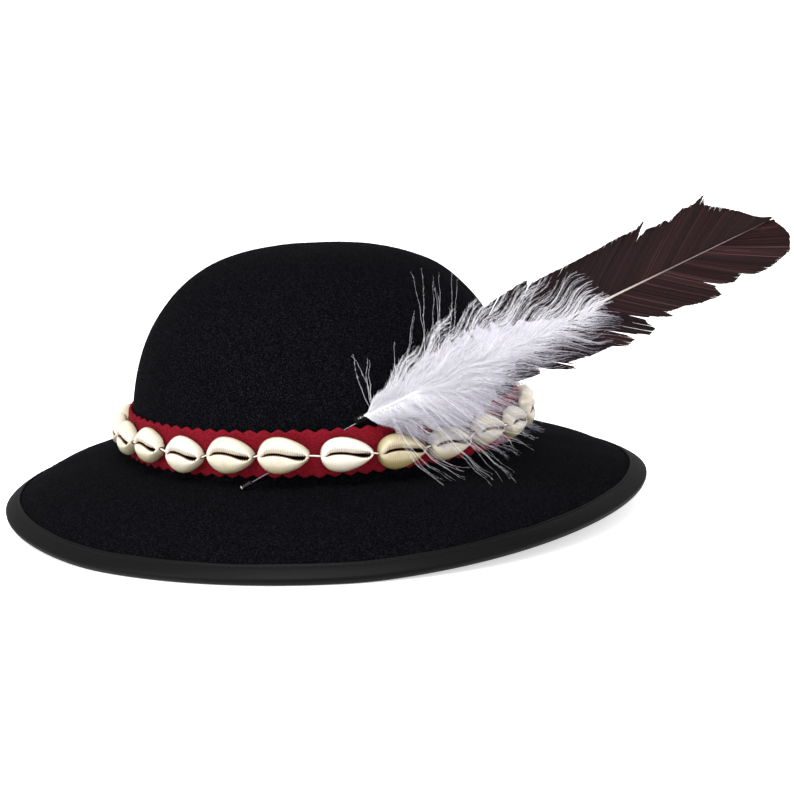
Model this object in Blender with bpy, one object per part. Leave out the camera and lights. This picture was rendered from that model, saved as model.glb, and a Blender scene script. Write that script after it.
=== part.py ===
"""Felt highlander hat: crown and brim, bound edge, red band, cowrie string, two feathers on a pin.

Metres, +Z up. The wearer's front is -X, and the feathers trail towards +X on the -Y side.
The hat is drawn about the middle of its head opening, and at the end one empty sets it down:
its brim rests on Z = 0 and the middle of its outline is over the origin.
Angles run around the crown from 0 at -Y to 90 degrees at +X.
"""

import math

import bmesh
import bpy
from mathutils import Vector

# Felt body
CROWN_HALF_LENGTH = 0.098      # outside, along X, where the crown meets the brim
CROWN_HALF_WIDTH = 0.087       # outside, along Y
CROWN_HEIGHT = 0.1017          # outside, above the head opening
CROWN_RISE_POWER = 2.307       # how square the dome is, upwards
CROWN_ROUND_POWER = 2.913      # and across
FELT_WALL = 0.002
BREAK_RADIUS = 0.002           # fillet between crown and brim
BRIM_REACH = 0.0642            # crown to the felt's cut edge
BRIM_DROP = 0.0245             # mean drop of the cut edge below the head opening
BRIM_SIDE_LIFT = 0.0047        # front and back of the oval stand higher than its two sides
BRIM_BACK_LIFT = 0.00315       # +X end higher than -X end
BRIM_TWIST = 0.0012
BRIM_START_SLOPE = 0.12        # share of the drop that is straight, the rest is curved
BRIM_CURVE_POWER = 2.55
REST_FLATTENING = 0.0012       # how far the brim's lowest stretches are pressed up by the ground
REST_BLEND = 0.001             # and over how much height the pressing fades out

# Ribbon binding
BINDING_WIDTH = 0.009          # on each face of the brim
BINDING_THICKNESS = 0.001

# Red band
BAND_FOOT = 0.0034             # mean height of its lower points above the head opening
BAND_WIDTH = 0.023             # point to point
BAND_TILT = 0.0022             # higher by this at the +X end, lower at the -X end
BAND_THICKNESS = 0.0015
BAND_TOOTH_PITCH = 0.0072
BAND_TOOTH_DEPTH = 0.0017

# Shell string
SHELL_COUNT = 24
SHELL_LENGTH = 0.0235
SHELL_HEIGHT = 0.0165
SHELL_DEPTH = 0.0082           # from the ground-off back to the lips
SHELL_STRING_HEIGHT = 0.0146   # thread above the head opening
SHELL_BORE_DEPTH = 0.0036      # thread in front of the shell's back
SHELL_APERTURE_WIDTH = 0.0013
SHELL_APERTURE_DEPTH = 0.0022
SHELL_START = 0.0131           # arc from the -Y point to the first shell right of it
THREAD_RADIUS = 0.00045
THREAD_CLEARANCE = 0.00035

# Feathers, wrapped together above the band
WRAP_X = 0.0203
WRAP_HEIGHT = 0.0304           # above the head opening
WRAP_LENGTH = 0.006
WRAP_WALL = 0.0006
QUILL_LENGTH = 0.208
QUILL_RISE = 23.9              # degrees above level
QUILL_REACH = 0.038            # longest barb of its vane
QUILL_SHAFT_RADIUS = 0.0007
QUILL_TIP_RADIUS = 0.0004
QUILL_BARB_ANGLE = 40.0
QUILL_BOW = 0.006              # how far the tip leans back
VANE_THICKNESS = 0.0008
DOWN_LENGTH = 0.116
DOWN_RISE = 23.4
DOWN_REACH = 0.040
DOWN_SHAFT_RADIUS = 0.0005
DOWN_TIP_RADIUS = 0.0004
DOWN_BARB_ANGLE = 42.0
DOWN_BOW = -0.005
DOWN_THICKNESS = 0.0036
DOWN_LOCK_COUNT = 9            # locks on each side of the shaft
DOWN_LOCK_SPLIT = 0.34         # depth of the split between two locks, as a share of their length
DOWN_FORWARD_CURL = 0.25       # its locks stand off the wearer's side, as a share of their length

# Steel pin
PIN_RADIUS = 0.00035
PIN_END_X = -0.0352            # where the pin comes to lie over the brim
PIN_END_REACH = 0.0120         # in front of the crown there
PIN_PAST_WRAP = 0.0045
CLUTCH_RADIUS = 0.0015
CLUTCH_LENGTH = 0.0058

GAP = 0.0003                   # between pieces that touch
BAND_GAP = 0.0005              # the band's own, over the dome's curve
COLUMNS = 48                   # facets around the felt and its binding

# Shells in turn, twice round: length, height, place along the string and height on the band,
# as shares of the named sizes
SHELLS = (
    # length, height, shift, rise
    (1.05, 1.00, 0.000, 0.00),
    (0.99, 1.02, 0.020, -0.07),
    (0.96, 0.98, 0.040, -0.07),
    (0.86, 0.92, 0.020, 0.04),
    (0.84, 0.95, -0.010, -0.02),
    (0.86, 1.00, -0.060, 0.02),
    (0.84, 1.00, -0.110, 0.02),
    (0.80, 1.04, -0.140, 0.04),
    (0.82, 1.06, -0.170, 0.06),
    (0.89, 1.09, -0.180, -0.04),
    (1.00, 1.07, -0.170, 0.03),
    (1.03, 1.05, -0.120, 0.09),
)

# A shell from its broad end to its narrow end: place along its length, then half height,
# back and front as shares of height and depth, and how open the aperture is
SHELL_SECTIONS = (
    # along, half_height, back, front, aperture
    (-0.50, 0.26, 0.24, 0.62, 0.0),
    (-0.41, 0.70, 0.05, 0.87, 0.5),
    (-0.22, 1.00, 0.00, 1.00, 0.9),
    (0.02, 0.98, 0.00, 1.00, 0.8),
    (0.24, 0.80, 0.00, 0.94, 1.0),
    (0.42, 0.47, 0.07, 0.80, 1.0),
    (0.50, 0.24, 0.24, 0.62, 0.0),
)

# Half of a shell's outline seen end on: height and depth as shares, from the back to the lip
SHELL_OUTLINE = (
    # up, out
    (0.70, 0.00),
    (1.00, 0.36),
    (0.66, 0.84),
)

# Vane of the wing feather: root along the shaft, and barb lengths above and below it
QUILL_VANE = (
    # root, upper, lower
    (0.000, 0.00, 0.00),
    (0.110, 0.00, 0.00),
    (0.150, 0.45, 0.30),
    (0.215, 0.92, 0.72),
    (0.300, 1.00, 0.86),
    (0.312, 0.84, 0.66),
    (0.326, 0.97, 0.80),
    (0.341, 0.95, 0.91),
    (0.394, 0.94, 0.82),
    (0.445, 0.94, 0.83),
    (0.492, 0.96, 0.72),
    (0.511, 0.97, 0.92),
    (0.538, 0.99, 0.89),
    (0.572, 0.97, 0.62),
    (0.593, 1.05, 0.84),
    (0.606, 0.80, 0.79),
    (0.618, 0.89, 0.76),
    (0.640, 0.86, 0.74),
    (0.670, 0.90, 0.85),
    (0.704, 0.94, 0.88),
    (0.738, 1.01, 0.68),
    (0.750, 0.84, 0.66),
    (0.794, 0.72, 0.67),
    (0.808, 0.68, 0.81),
    (0.845, 0.56, 0.82),
    (0.880, 0.44, 0.76),
    (0.915, 0.34, 0.70),
    (0.950, 0.22, 0.50),
    (0.980, 0.11, 0.30),
    (1.000, 0.03, 0.12),
)

# Down feather, outline before it is split into locks
DOWN_VANE = (
    # root, upper, lower
    (0.00, 0.00, 0.00),
    (0.03, 0.30, 0.24),
    (0.10, 0.62, 0.60),
    (0.22, 0.86, 0.92),
    (0.38, 0.92, 1.00),
    (0.55, 0.84, 0.88),
    (0.70, 0.70, 0.66),
    (0.85, 0.50, 0.46),
    (1.00, 0.22, 0.20),
)


def clear_scene():
    """Start from an empty file."""
    for old in list(bpy.data.objects):
        bpy.data.objects.remove(old, do_unlink=True)


def material(name, red, green, blue, roughness, metallic=0.0):
    """One plain Principled material."""
    made = bpy.data.materials.new(name)
    made.use_nodes = True
    shader = made.node_tree.nodes["Principled BSDF"]
    shader.inputs["Base Color"].default_value = (red, green, blue, 1.0)
    shader.inputs["Roughness"].default_value = roughness
    shader.inputs["Metallic"].default_value = metallic
    return made


def add_object(name, points, faces, finish, parent):
    """A closed, outward-facing, smooth-shaded mesh as one named object."""
    mesh = bpy.data.meshes.new(name)
    mesh.from_pydata([tuple(point) for point in points], [], faces)
    shape = bmesh.new()
    shape.from_mesh(mesh)
    bmesh.ops.triangulate(shape, faces=shape.faces[:])
    bmesh.ops.recalc_face_normals(shape, faces=shape.faces[:])
    shape.to_mesh(mesh)
    shape.free()
    mesh.shade_smooth()
    mesh.set_sharp_from_angle(angle=math.radians(40))
    mesh.materials.append(finish)
    made = bpy.data.objects.new(name, mesh)
    made.parent = parent
    bpy.context.scene.collection.objects.link(made)
    return made


def loft(sections, ring):
    """Points and faces through like sections: a ring of them, or a run with two end faces."""
    count = len(sections[0])
    points = [point for section in sections for point in section]
    faces = []
    for row in range(len(sections) if ring else len(sections) - 1):
        here = row * count
        there = (row + 1) % len(sections) * count
        for k in range(count):
            after = (k + 1) % count
            faces.append((here + k, here + after, there + after, there + k))
    if not ring:
        faces.append(tuple(range(count)))
        faces.append(tuple(range(len(points) - count, len(points))))
    return points, faces


def table_value(table, place, column):
    """Read a column of a short table at a place, in straight steps."""
    for low, high in zip(table, table[1:]):
        if place <= high[0]:
            share = (place - low[0]) / (high[0] - low[0])
            return low[column] + (high[column] - low[column]) * share
    return table[-1][column]


def smooth_step(low, high, value):
    """0 at low, 1 at high, level at both."""
    share = min(max((value - low) / (high - low), 0.0), 1.0)
    return share * share * (3.0 - 2.0 * share)


# Shape of the felt

def free_edge_height(angle):
    """Height of the brim's cut edge if nothing pressed on it."""
    wave = BRIM_SIDE_LIFT * math.cos(2 * angle) - BRIM_TWIST * math.sin(2 * angle)
    return -BRIM_DROP - wave + BRIM_BACK_LIFT * math.sin(angle)


LOWEST_FREE_EDGE = min(free_edge_height(math.radians(degree)) for degree in range(360))


def edge_height(angle):
    """The same with its lowest stretches flattened, as the hat stands on them."""
    level = LOWEST_FREE_EDGE + REST_FLATTENING
    above = free_edge_height(angle) - level
    if above <= 0.0:
        return level
    if above < REST_BLEND:
        return level + above * above / (2 * REST_BLEND)
    return level + above - REST_BLEND / 2


def brim_station(angle, reach):
    """Height and slope of the brim's upper face at a distance from the crown."""
    share = reach / BRIM_REACH
    curved = 1.0 - BRIM_START_SLOPE
    drop = BRIM_START_SLOPE * share + curved * share ** BRIM_CURVE_POWER
    steep = BRIM_START_SLOPE + curved * BRIM_CURVE_POWER * share ** (BRIM_CURVE_POWER - 1.0)
    edge = edge_height(angle)
    return edge * drop, edge * steep / BRIM_REACH


def off_brim(angle, reach, up, out=0.0):
    """Reach and height of a point off the brim's upper face, square to it and along it."""
    height, slope = brim_station(angle, reach)
    size = math.hypot(1.0, slope)
    return reach + (out - slope * up) / size, height + (slope * out + up) / size


def around(angle, reach, height):
    """Point at a distance outside the crown's oval."""
    half_length = CROWN_HALF_LENGTH + reach
    half_width = CROWN_HALF_WIDTH + reach
    return Vector((half_length * math.sin(angle), -half_width * math.cos(angle), height))


def crown_share(height, crown_height=CROWN_HEIGHT):
    """Width of the dome at a height, as a share of its width at the foot."""
    rise = min(max(height / crown_height, 0.0), 1.0)
    return (1.0 - rise ** CROWN_RISE_POWER) ** (1.0 / CROWN_ROUND_POWER)


def binding_start(angle):
    """Reach at which the ribbon binding begins."""
    slope = brim_station(angle, BRIM_REACH)[1]
    return BRIM_REACH - BINDING_WIDTH / math.hypot(1.0, slope)


def brim_reaches(angle):
    """Rows of the felt's mesh across the brim."""
    start = binding_start(angle)
    shares = (0.0, 0.2, 0.42, 0.64, 0.83, 1.0)
    rows = [BREAK_RADIUS + (start - BREAK_RADIUS) * share for share in shares]
    return rows + [BRIM_REACH]


def felt_profile(angle, inset):
    """One face of the felt from near the top of the dome to the cut edge."""
    rows = 9
    height = CROWN_HEIGHT - inset
    foot = math.asin((BREAK_RADIUS / height) ** (CROWN_RISE_POWER / 2))
    profile = []
    for row in range(1, rows + 1):
        turn = math.pi / 2 + (foot - math.pi / 2) * row / rows
        rise = height * math.sin(turn) ** (2 / CROWN_RISE_POWER)
        share = math.cos(turn) ** (2 / CROWN_ROUND_POWER)
        half_length = (CROWN_HALF_LENGTH - inset) * share
        half_width = (CROWN_HALF_WIDTH - inset) * share
        profile.append(Vector((half_length * math.sin(angle), -half_width * math.cos(angle), rise)))
    radius = BREAK_RADIUS + inset
    for degree in (30, 60):
        turn = math.radians(degree)
        reach = BREAK_RADIUS - radius * math.cos(turn)
        profile.append(around(angle, reach, BREAK_RADIUS - radius * math.sin(turn)))
    for reach in brim_reaches(angle):
        profile.append(around(angle, *off_brim(angle, reach, -inset)))
    return profile


def column_angles():
    """Angles of the facets around the felt."""
    return [2 * math.pi * column / COLUMNS for column in range(COLUMNS)]


def crown_and_brim(parent):
    """Blocked felt: dome and brim in one hollow piece."""
    columns = [felt_profile(angle, 0.0) + felt_profile(angle, FELT_WALL)[::-1]
               for angle in column_angles()]
    rows = len(columns[0])
    points = [point for column in columns for point in column]
    faces = []
    for column in range(COLUMNS):
        here = column * rows
        there = (column + 1) % COLUMNS * rows
        for row in range(rows - 1):
            faces.append((here + row, here + row + 1, there + row + 1, there + row))
        faces.append((here, there, len(points)))
        faces.append((here + rows - 1, there + rows - 1, len(points) + 1))
    points.append(Vector((0, 0, CROWN_HEIGHT)))
    points.append(Vector((0, 0, CROWN_HEIGHT - FELT_WALL)))
    felt = material("black_felt", 0.008, 0.008, 0.011, 0.95)
    return add_object("crown_and_brim", points, faces, felt, parent)


def brim_binding(parent):
    """Ribbon folded over the cut edge, with a flat foot where the hat stands."""
    skin = GAP + BINDING_THICKNESS
    sections = []
    for angle in column_angles():
        start = binding_start(angle)
        under = -FELT_WALL
        tip = off_brim(angle, BRIM_REACH, under, skin)
        heel = off_brim(angle, BRIM_REACH, under - skin)
        foot = min(tip[1], heel[1])
        profile = (
            off_brim(angle, start, GAP),
            off_brim(angle, start, skin),
            off_brim(angle, BRIM_REACH, skin),
            off_brim(angle, BRIM_REACH, 0.0, skin),
            (tip[0], foot),
            (heel[0], foot),
            off_brim(angle, start, under - skin),
            off_brim(angle, start, under - GAP),
            off_brim(angle, BRIM_REACH, under - GAP, GAP),
            off_brim(angle, BRIM_REACH, GAP, GAP),
        )
        sections.append([around(angle, reach, height) for reach, height in profile])
    ribbon = material("black_ribbon", 0.03, 0.03, 0.033, 0.6)
    return add_object("brim_binding", *loft(sections, ring=True), ribbon, parent)


# Pin, which the band and the shells make room for

def wrap_centre():
    """Middle of the thread winding, resting against the crown."""
    share = crown_share(WRAP_HEIGHT)
    across = WRAP_X / (CROWN_HALF_LENGTH * share)
    crown_side = CROWN_HALF_WIDTH * share * math.sqrt(1.0 - across * across)
    return Vector((WRAP_X, -crown_side - 2 * GAP - wrap_outer_radius(), WRAP_HEIGHT))


def wrap_bore_radius():
    """The winding's inside, round both shafts and the pin."""
    return math.hypot(shaft_spread(), PIN_RADIUS) + QUILL_SHAFT_RADIUS + GAP


def wrap_outer_radius():
    return wrap_bore_radius() + WRAP_WALL


def shaft_spread():
    """Half the distance between the two shafts inside the winding."""
    return (QUILL_SHAFT_RADIUS + DOWN_SHAFT_RADIUS + GAP) / 2


def pin_head():
    """Where the pin passes the middle of the winding, under the two shafts."""
    below = QUILL_SHAFT_RADIUS + PIN_RADIUS
    return wrap_centre() - Vector((0, 0, below))


def pin_end():
    """End of the pin, over the brim by the thickness of its clutch."""
    across = PIN_END_X / CROWN_HALF_LENGTH
    out = CROWN_HALF_WIDTH * math.sqrt(1.0 - across * across) + PIN_END_REACH
    share = math.hypot(across, out / CROWN_HALF_WIDTH)
    angle = math.atan2(across, out / CROWN_HALF_WIDTH)
    reach = (share - 1.0) * math.hypot(CROWN_HALF_LENGTH * math.sin(angle),
                                       CROWN_HALF_WIDTH * math.cos(angle))
    return Vector((PIN_END_X, -out, off_brim(angle, reach, CLUTCH_RADIUS + 2 * GAP)[1]))


def pin_at(x):
    """Point of the pin's axis at a place along X."""
    head, end = pin_head(), pin_end()
    return end + (head - end) * ((x - end.x) / (head.x - end.x))


def rod(name, start, end, radius, sides, finish, parent):
    """Straight round bar."""
    axis = (end - start).normalized()
    frame = axis.to_track_quat("Z", "Y").to_matrix()
    sections = []
    for middle in (start, end):
        ring = []
        for side in range(sides):
            turn = 2 * math.pi * side / sides
            ring.append(middle + frame @ Vector((radius * math.cos(turn), radius * math.sin(turn), 0)))
        sections.append(ring)
    return add_object(name, *loft(sections, ring=False), finish, parent)


def tube(name, profile, start, end, sides, finish, parent):
    """Turned hollow piece: profile holds (share along, radius) once round its wall."""
    axis = end - start
    frame = axis.normalized().to_track_quat("Z", "Y").to_matrix()
    sections = []
    for share, radius in profile:
        ring = []
        for side in range(sides):
            turn = 2 * math.pi * side / sides
            spoke = Vector((radius * math.cos(turn), radius * math.sin(turn), 0))
            ring.append(start + axis * share + frame @ spoke)
        sections.append(ring)
    return add_object(name, *loft(sections, ring=True), finish, parent)


def hat_pin(parent):
    """Steel pin from the winding, behind the band, through it and out over the brim."""
    steel = material("pin_steel", 0.42, 0.41, 0.42, 0.3, metallic=1.0)
    along = (pin_head() - pin_end()).normalized()
    return rod("hat_pin", pin_end(), pin_head() + along * PIN_PAST_WRAP, PIN_RADIUS, 8, steel, parent)


def pin_clutch(parent):
    """Small cap pushed on the end of the pin."""
    metal = material("clutch_metal", 0.35, 0.34, 0.36, 0.3, metallic=1.0)
    along = (pin_head() - pin_end()).normalized()
    start = pin_end() - along * CLUTCH_LENGTH * 0.3
    bore = PIN_RADIUS + GAP
    profile = (
        (0.0, bore),
        (0.0, CLUTCH_RADIUS * 0.8),
        (0.2, CLUTCH_RADIUS),
        (0.75, CLUTCH_RADIUS),
        (1.0, CLUTCH_RADIUS * 0.85),
        (1.0, bore),
    )
    return tube("pin_clutch", profile, start, start + along * CLUTCH_LENGTH, 10, metal, parent)


# Band

def band_lift(angle):
    """How far the band stands off the crown to pass over the pin before the pin comes out."""
    on_crown = around(angle, BAND_GAP, 0.0)
    if on_crown.y > 0.0:
        return 0.0
    head = pin_head()
    mouth = 0.0
    slit_end = mouth - 0.45 * SHELL_LENGTH
    x = min(max(on_crown.x, mouth), head.x)
    base = around(math.asin(x / (CROWN_HALF_LENGTH + BAND_GAP)), BAND_GAP, 0.0)
    needed = base.y - (pin_at(x).y - PIN_RADIUS - GAP)
    fade_in = smooth_step(slit_end, mouth, on_crown.x)
    fade_out = 1.0 - smooth_step(head.x, head.x + SHELL_LENGTH, on_crown.x)
    return max(needed, 0.0) * fade_in * fade_out


def band_surface(angle, height, depth):
    """Point on the band, a depth in front of its back face, at a height before the tilt."""
    height += BAND_TILT * math.sin(angle)
    lean = crown_share(height)
    off = BAND_GAP + band_lift(angle) + depth
    half_length = CROWN_HALF_LENGTH * lean + off
    half_width = CROWN_HALF_WIDTH * lean + off
    return Vector((half_length * math.sin(angle), -half_width * math.cos(angle), height))


def arc_table(reach, steps=720):
    """Arc length from the -Y point against angle, on an oval outside the crown."""
    table = [(0.0, 0.0)]
    before = around(0.0, reach, 0.0)
    for step in range(1, steps + 1):
        angle = 2 * math.pi * step / steps
        here = around(angle, reach, 0.0)
        table.append((table[-1][0] + (here - before).length, angle))
        before = here
    return table


def angle_at(table, arc):
    """Angle at an arc length, either way round."""
    return table_value(table, arc % table[-1][0], 1)


def red_band(parent):
    """Felt band, pinked along both edges and slit where the pin comes through."""
    arcs = arc_table(BAND_GAP + BAND_THICKNESS)
    teeth = round(arcs[-1][0] / BAND_TOOTH_PITCH)
    sections = []
    for step in range(2 * teeth):
        angle = angle_at(arcs, arcs[-1][0] * step / (2 * teeth))
        cut = BAND_TOOTH_DEPTH * (step % 2)
        low, high = BAND_FOOT + cut, BAND_FOOT + BAND_WIDTH - cut
        sections.append([
            band_surface(angle, low, 0.0),
            band_surface(angle, low, BAND_THICKNESS),
            band_surface(angle, high, BAND_THICKNESS),
            band_surface(angle, high, 0.0),
        ])
    felt = material("red_felt", 0.30, 0.012, 0.022, 0.95)
    band = add_object("red_band", *loft(sections, ring=True), felt, parent)
    cutter = rod("pin_path", pin_end(), pin_head(), PIN_RADIUS + GAP, 8, felt, parent)
    cutter.hide_render = True
    cutter.display_type = "WIRE"
    slit = band.modifiers.new("pin_slit", "BOOLEAN")
    slit.operation = "DIFFERENCE"
    slit.object = cutter
    return band


# Shells and their thread

def shell_standoff(angle, string_height, half_span):
    """Depth of a shell's back in front of the band's back face, clear of band and pin."""
    stand = BAND_THICKNESS + GAP
    middle = band_surface(angle, string_height, stand)
    deepest = 0.0
    for share in (-0.8, -0.4, 0.0, 0.4, 0.8):
        lift = band_lift(angle + share * half_span / CROWN_HALF_LENGTH) - band_lift(angle)
        pin = pin_at(middle.x + share * half_span)
        behind = abs(pin.z - middle.z) < SHELL_HEIGHT / 2 and middle.y < 0.0
        pushed = middle.y - (pin.y - PIN_RADIUS - GAP) if behind and pin.x < 0.0 else 0.0
        deepest = max(deepest, lift, pushed)
    return stand + deepest


def shell_places():
    """For each shell: angle, length, height, its frame, and the middle of its bore."""
    arcs = arc_table(BAND_GAP + BAND_THICKNESS + GAP + SHELL_BORE_DEPTH)
    pitch = arcs[-1][0] / SHELL_COUNT
    places = []
    for number in range(SHELL_COUNT):
        length_share, height_share, shift, rise = SHELLS[number % len(SHELLS)]
        length = SHELL_LENGTH * length_share
        angle = angle_at(arcs, SHELL_START + pitch * (number + shift))
        along = around(angle + 0.01, 0.0, 0.0) - around(angle - 0.01, 0.0, 0.0)
        along.normalize()
        outward = Vector((along.y, -along.x, 0.0))
        string_height = SHELL_STRING_HEIGHT + rise * SHELL_HEIGHT
        back = band_surface(angle, string_height, shell_standoff(angle, string_height, length / 2))
        places.append((length, SHELL_HEIGHT * height_share, along, outward, back))
    return places


def cowrie(number, place, finish, parent):
    """Cowrie with its back ground flat, drilled lengthwise, its toothed slit outwards."""
    length, height, along, outward, back = place
    sections = []
    for share, half, rear, front, open_share in SHELL_SECTIONS:
        half_height = half * height / 2
        behind = rear * SHELL_DEPTH
        depth = front * SHELL_DEPTH - behind
        lip = SHELL_APERTURE_WIDTH / 2 * (0.4 + 0.6 * open_share)
        sway = 0.05 * height * math.sin(2 * math.pi * share)
        side = [(up * half_height, behind + out * depth) for up, out in SHELL_OUTLINE]
        outline = [(-up, out) for up, out in side]
        outline.append((sway - lip, behind + depth))
        outline.append((sway, behind + depth - SHELL_APERTURE_DEPTH * open_share - GAP))
        outline.append((sway + lip, behind + depth))
        outline += side[::-1]
        middle = back + along * (share * length)
        sections.append([middle + outward * out + Vector((0, 0, up)) for up, out in outline])
    sides = len(sections[0])
    bore = THREAD_RADIUS + THREAD_CLEARANCE
    for share in (0.5, -0.5):
        middle = back + along * (share * length) + outward * SHELL_BORE_DEPTH
        ring = []
        for side in range(sides):
            turn = 2 * math.pi * (side + 0.5) / sides
            ring.append(middle - outward * (bore * math.cos(turn)) - Vector((0, 0, bore * math.sin(turn))))
        sections.append(ring)
    return add_object(f"cowrie_{number:02d}", *loft(sections, ring=True), finish, parent)


def cowries(parent):
    """The whole string of shells."""
    finish = material("cowrie_shell", 0.78, 0.73, 0.60, 0.25)
    for number, place in enumerate(shell_places(), start=1):
        cowrie(number, place, finish, parent)


def shell_thread(parent):
    """Thread through every bore, tied into a ring."""
    route = []
    for length, _height, along, outward, back in shell_places():
        for share in (-0.5, 0.5):
            route.append(back + outward * SHELL_BORE_DEPTH + along * (share * length))
    sections = []
    for number, middle in enumerate(route):
        after = route[(number + 1) % len(route)]
        tangent = (after - route[number - 1]).normalized()
        side = tangent.cross(Vector((0, 0, 1))).normalized()
        ring = []
        for step in range(6):
            turn = math.pi * step / 3
            spoke = side * math.cos(turn) + Vector((0, 0, 1)) * math.sin(turn)
            ring.append(middle + spoke * THREAD_RADIUS)
        sections.append(ring)
    cotton = material("white_thread", 0.75, 0.70, 0.66, 0.8)
    return add_object("shell_thread", *loft(sections, ring=True), cotton, parent)


# Feathers

def feather(name, stations, shape, finish, parent):
    """Shaft and vane in one: stations hold root share, upper and lower barb length."""
    start, length, rise, barb_angle, base_radius, tip_radius, fore, aft, bow, curl = shape
    along = Vector((math.cos(math.radians(rise)), 0.0, math.sin(math.radians(rise))))
    upward = Vector((-along.z, 0.0, along.x))
    front = Vector((0.0, -1.0, 0.0))
    sections = []
    for root, upper, lower in stations:
        radius = base_radius + (tip_radius - base_radius) * root
        middle = start + along * (root * length) - front * (bow * root * root)
        bare = max(upper, lower) < 3 * radius
        narrowing = 1.0 - 0.55 * smooth_step(0.72, 1.0, root)
        turn = math.radians(barb_angle * narrowing)
        faces = []
        for face, depth in ((front, fore), (-front, aft)):
            near = 0.7 * radius if bare else max(0.7 * radius, depth)
            ridge = radius if bare else max(radius, depth + 0.2 * radius)
            edge = 0.35 * radius if bare else min(depth, VANE_THICKNESS / 2)
            side = []
            for sign, reach in ((1, upper), (-1, lower)):
                way = along * math.cos(turn) + upward * (sign * math.sin(turn))
                reach = max(reach, 1.3 * radius)
                lean = front * (0.0 if bare else curl * reach)
                side.append((middle + way * reach + lean + face * edge,
                             middle + way * (0.9 * radius) + face * near))
            (top, top_near), (low, low_near) = side
            faces.append([top, top_near, middle + face * ridge, low_near, low])
        sections.append(faces[0] + faces[1][::-1])
    return add_object(name, *loft(sections, ring=False), finish, parent)


def quill_feather(parent):
    """Dark wing feather: split vane on a stiff shaft, behind the down feather."""
    finish = material("dark_vane", 0.035, 0.018, 0.018, 0.55)
    back = Vector((0.0, shaft_spread(), PIN_RADIUS))
    stations = [(root, upper * QUILL_REACH, lower * QUILL_REACH) for root, upper, lower in QUILL_VANE]
    shape = (wrap_centre() + back, QUILL_LENGTH, QUILL_RISE, QUILL_BARB_ANGLE,
             QUILL_SHAFT_RADIUS, QUILL_TIP_RADIUS, VANE_THICKNESS / 2, VANE_THICKNESS / 2,
             QUILL_BOW, 0.0)
    return feather("quill_feather", stations, shape, finish, parent)


def down_feather(parent):
    """White down feather: soft locks on each side of a thin shaft."""
    finish = material("white_down", 0.82, 0.81, 0.86, 0.9)
    forward = Vector((0.0, -shaft_spread(), PIN_RADIUS))
    first, last = 0.06, 1.0
    stations = [(0.0, 0.0, 0.0), (0.05, 0.0, 0.0)]
    for step in range(3 * DOWN_LOCK_COUNT):
        root = first + (last - first) * (step + 1) / (3 * DOWN_LOCK_COUNT)
        split = 1.0 - (DOWN_LOCK_SPLIT if step % 3 == 2 and step < 3 * DOWN_LOCK_COUNT - 1 else 0.0)
        upper = table_value(DOWN_VANE, root, 1) * DOWN_REACH * split
        lower = table_value(DOWN_VANE, root, 2) * DOWN_REACH * split
        stations.append((root, upper, lower))
    shape = (wrap_centre() + forward, DOWN_LENGTH, DOWN_RISE, DOWN_BARB_ANGLE,
             DOWN_SHAFT_RADIUS, DOWN_TIP_RADIUS, DOWN_THICKNESS, VANE_THICKNESS / 2,
             DOWN_BOW, DOWN_FORWARD_CURL)
    return feather("down_feather", stations, shape, finish, parent)


def feather_wrap(parent):
    """Black thread wound round both shafts and the pin."""
    finish = material("black_thread", 0.012, 0.012, 0.014, 0.7)
    turn = math.radians(DOWN_RISE)
    along = Vector((math.cos(turn), 0.0, math.sin(turn))) * (WRAP_LENGTH / 2)
    bore, outer = wrap_bore_radius(), wrap_outer_radius()
    profile = ((0.0, bore), (0.0, outer * 0.9), (0.2, outer), (0.8, outer), (1.0, outer * 0.9), (1.0, bore))
    centre = wrap_centre()
    return tube("feather_wrap", profile, centre - along, centre + along, 12, finish, parent)


def set_down(parent):
    """Rest the brim on Z = 0 with the middle of the hat's outline over the origin."""
    bpy.context.view_layer.update()
    corners = []
    for piece in bpy.context.scene.objects:
        if piece.type == "MESH" and not piece.hide_render:
            corners += [point.co for point in piece.data.vertices]
    low = Vector([min(corner[axis] for corner in corners) for axis in range(3)])
    high = Vector([max(corner[axis] for corner in corners) for axis in range(3)])
    parent.location = (-(low.x + high.x) / 2, -(low.y + high.y) / 2, -low.z)


def build():
    clear_scene()
    hat = bpy.data.objects.new("hat", None)
    bpy.context.scene.collection.objects.link(hat)
    crown_and_brim(hat)
    brim_binding(hat)
    red_band(hat)
    cowries(hat)
    shell_thread(hat)
    quill_feather(hat)
    down_feather(hat)
    feather_wrap(hat)
    hat_pin(hat)
    pin_clutch(hat)
    set_down(hat)


build()
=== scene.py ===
"""Felt highlander hat with a red band, a string of cowrie shells and two feathers on a pin.

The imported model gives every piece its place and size, and this script gives it its fine shape
and finish. Metres, +Z up. The wearer's front is -X, and the feathers trail towards +X at -Y.
Shapes are drawn about the middle of the head opening, and add_piece() moves them to the frame.
Angles run around the crown from 0 at -Y to 90 degrees at +X.
"""

import math

import bmesh
import bpy
import numpy as np
from mathutils import Matrix, Vector, noise


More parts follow.
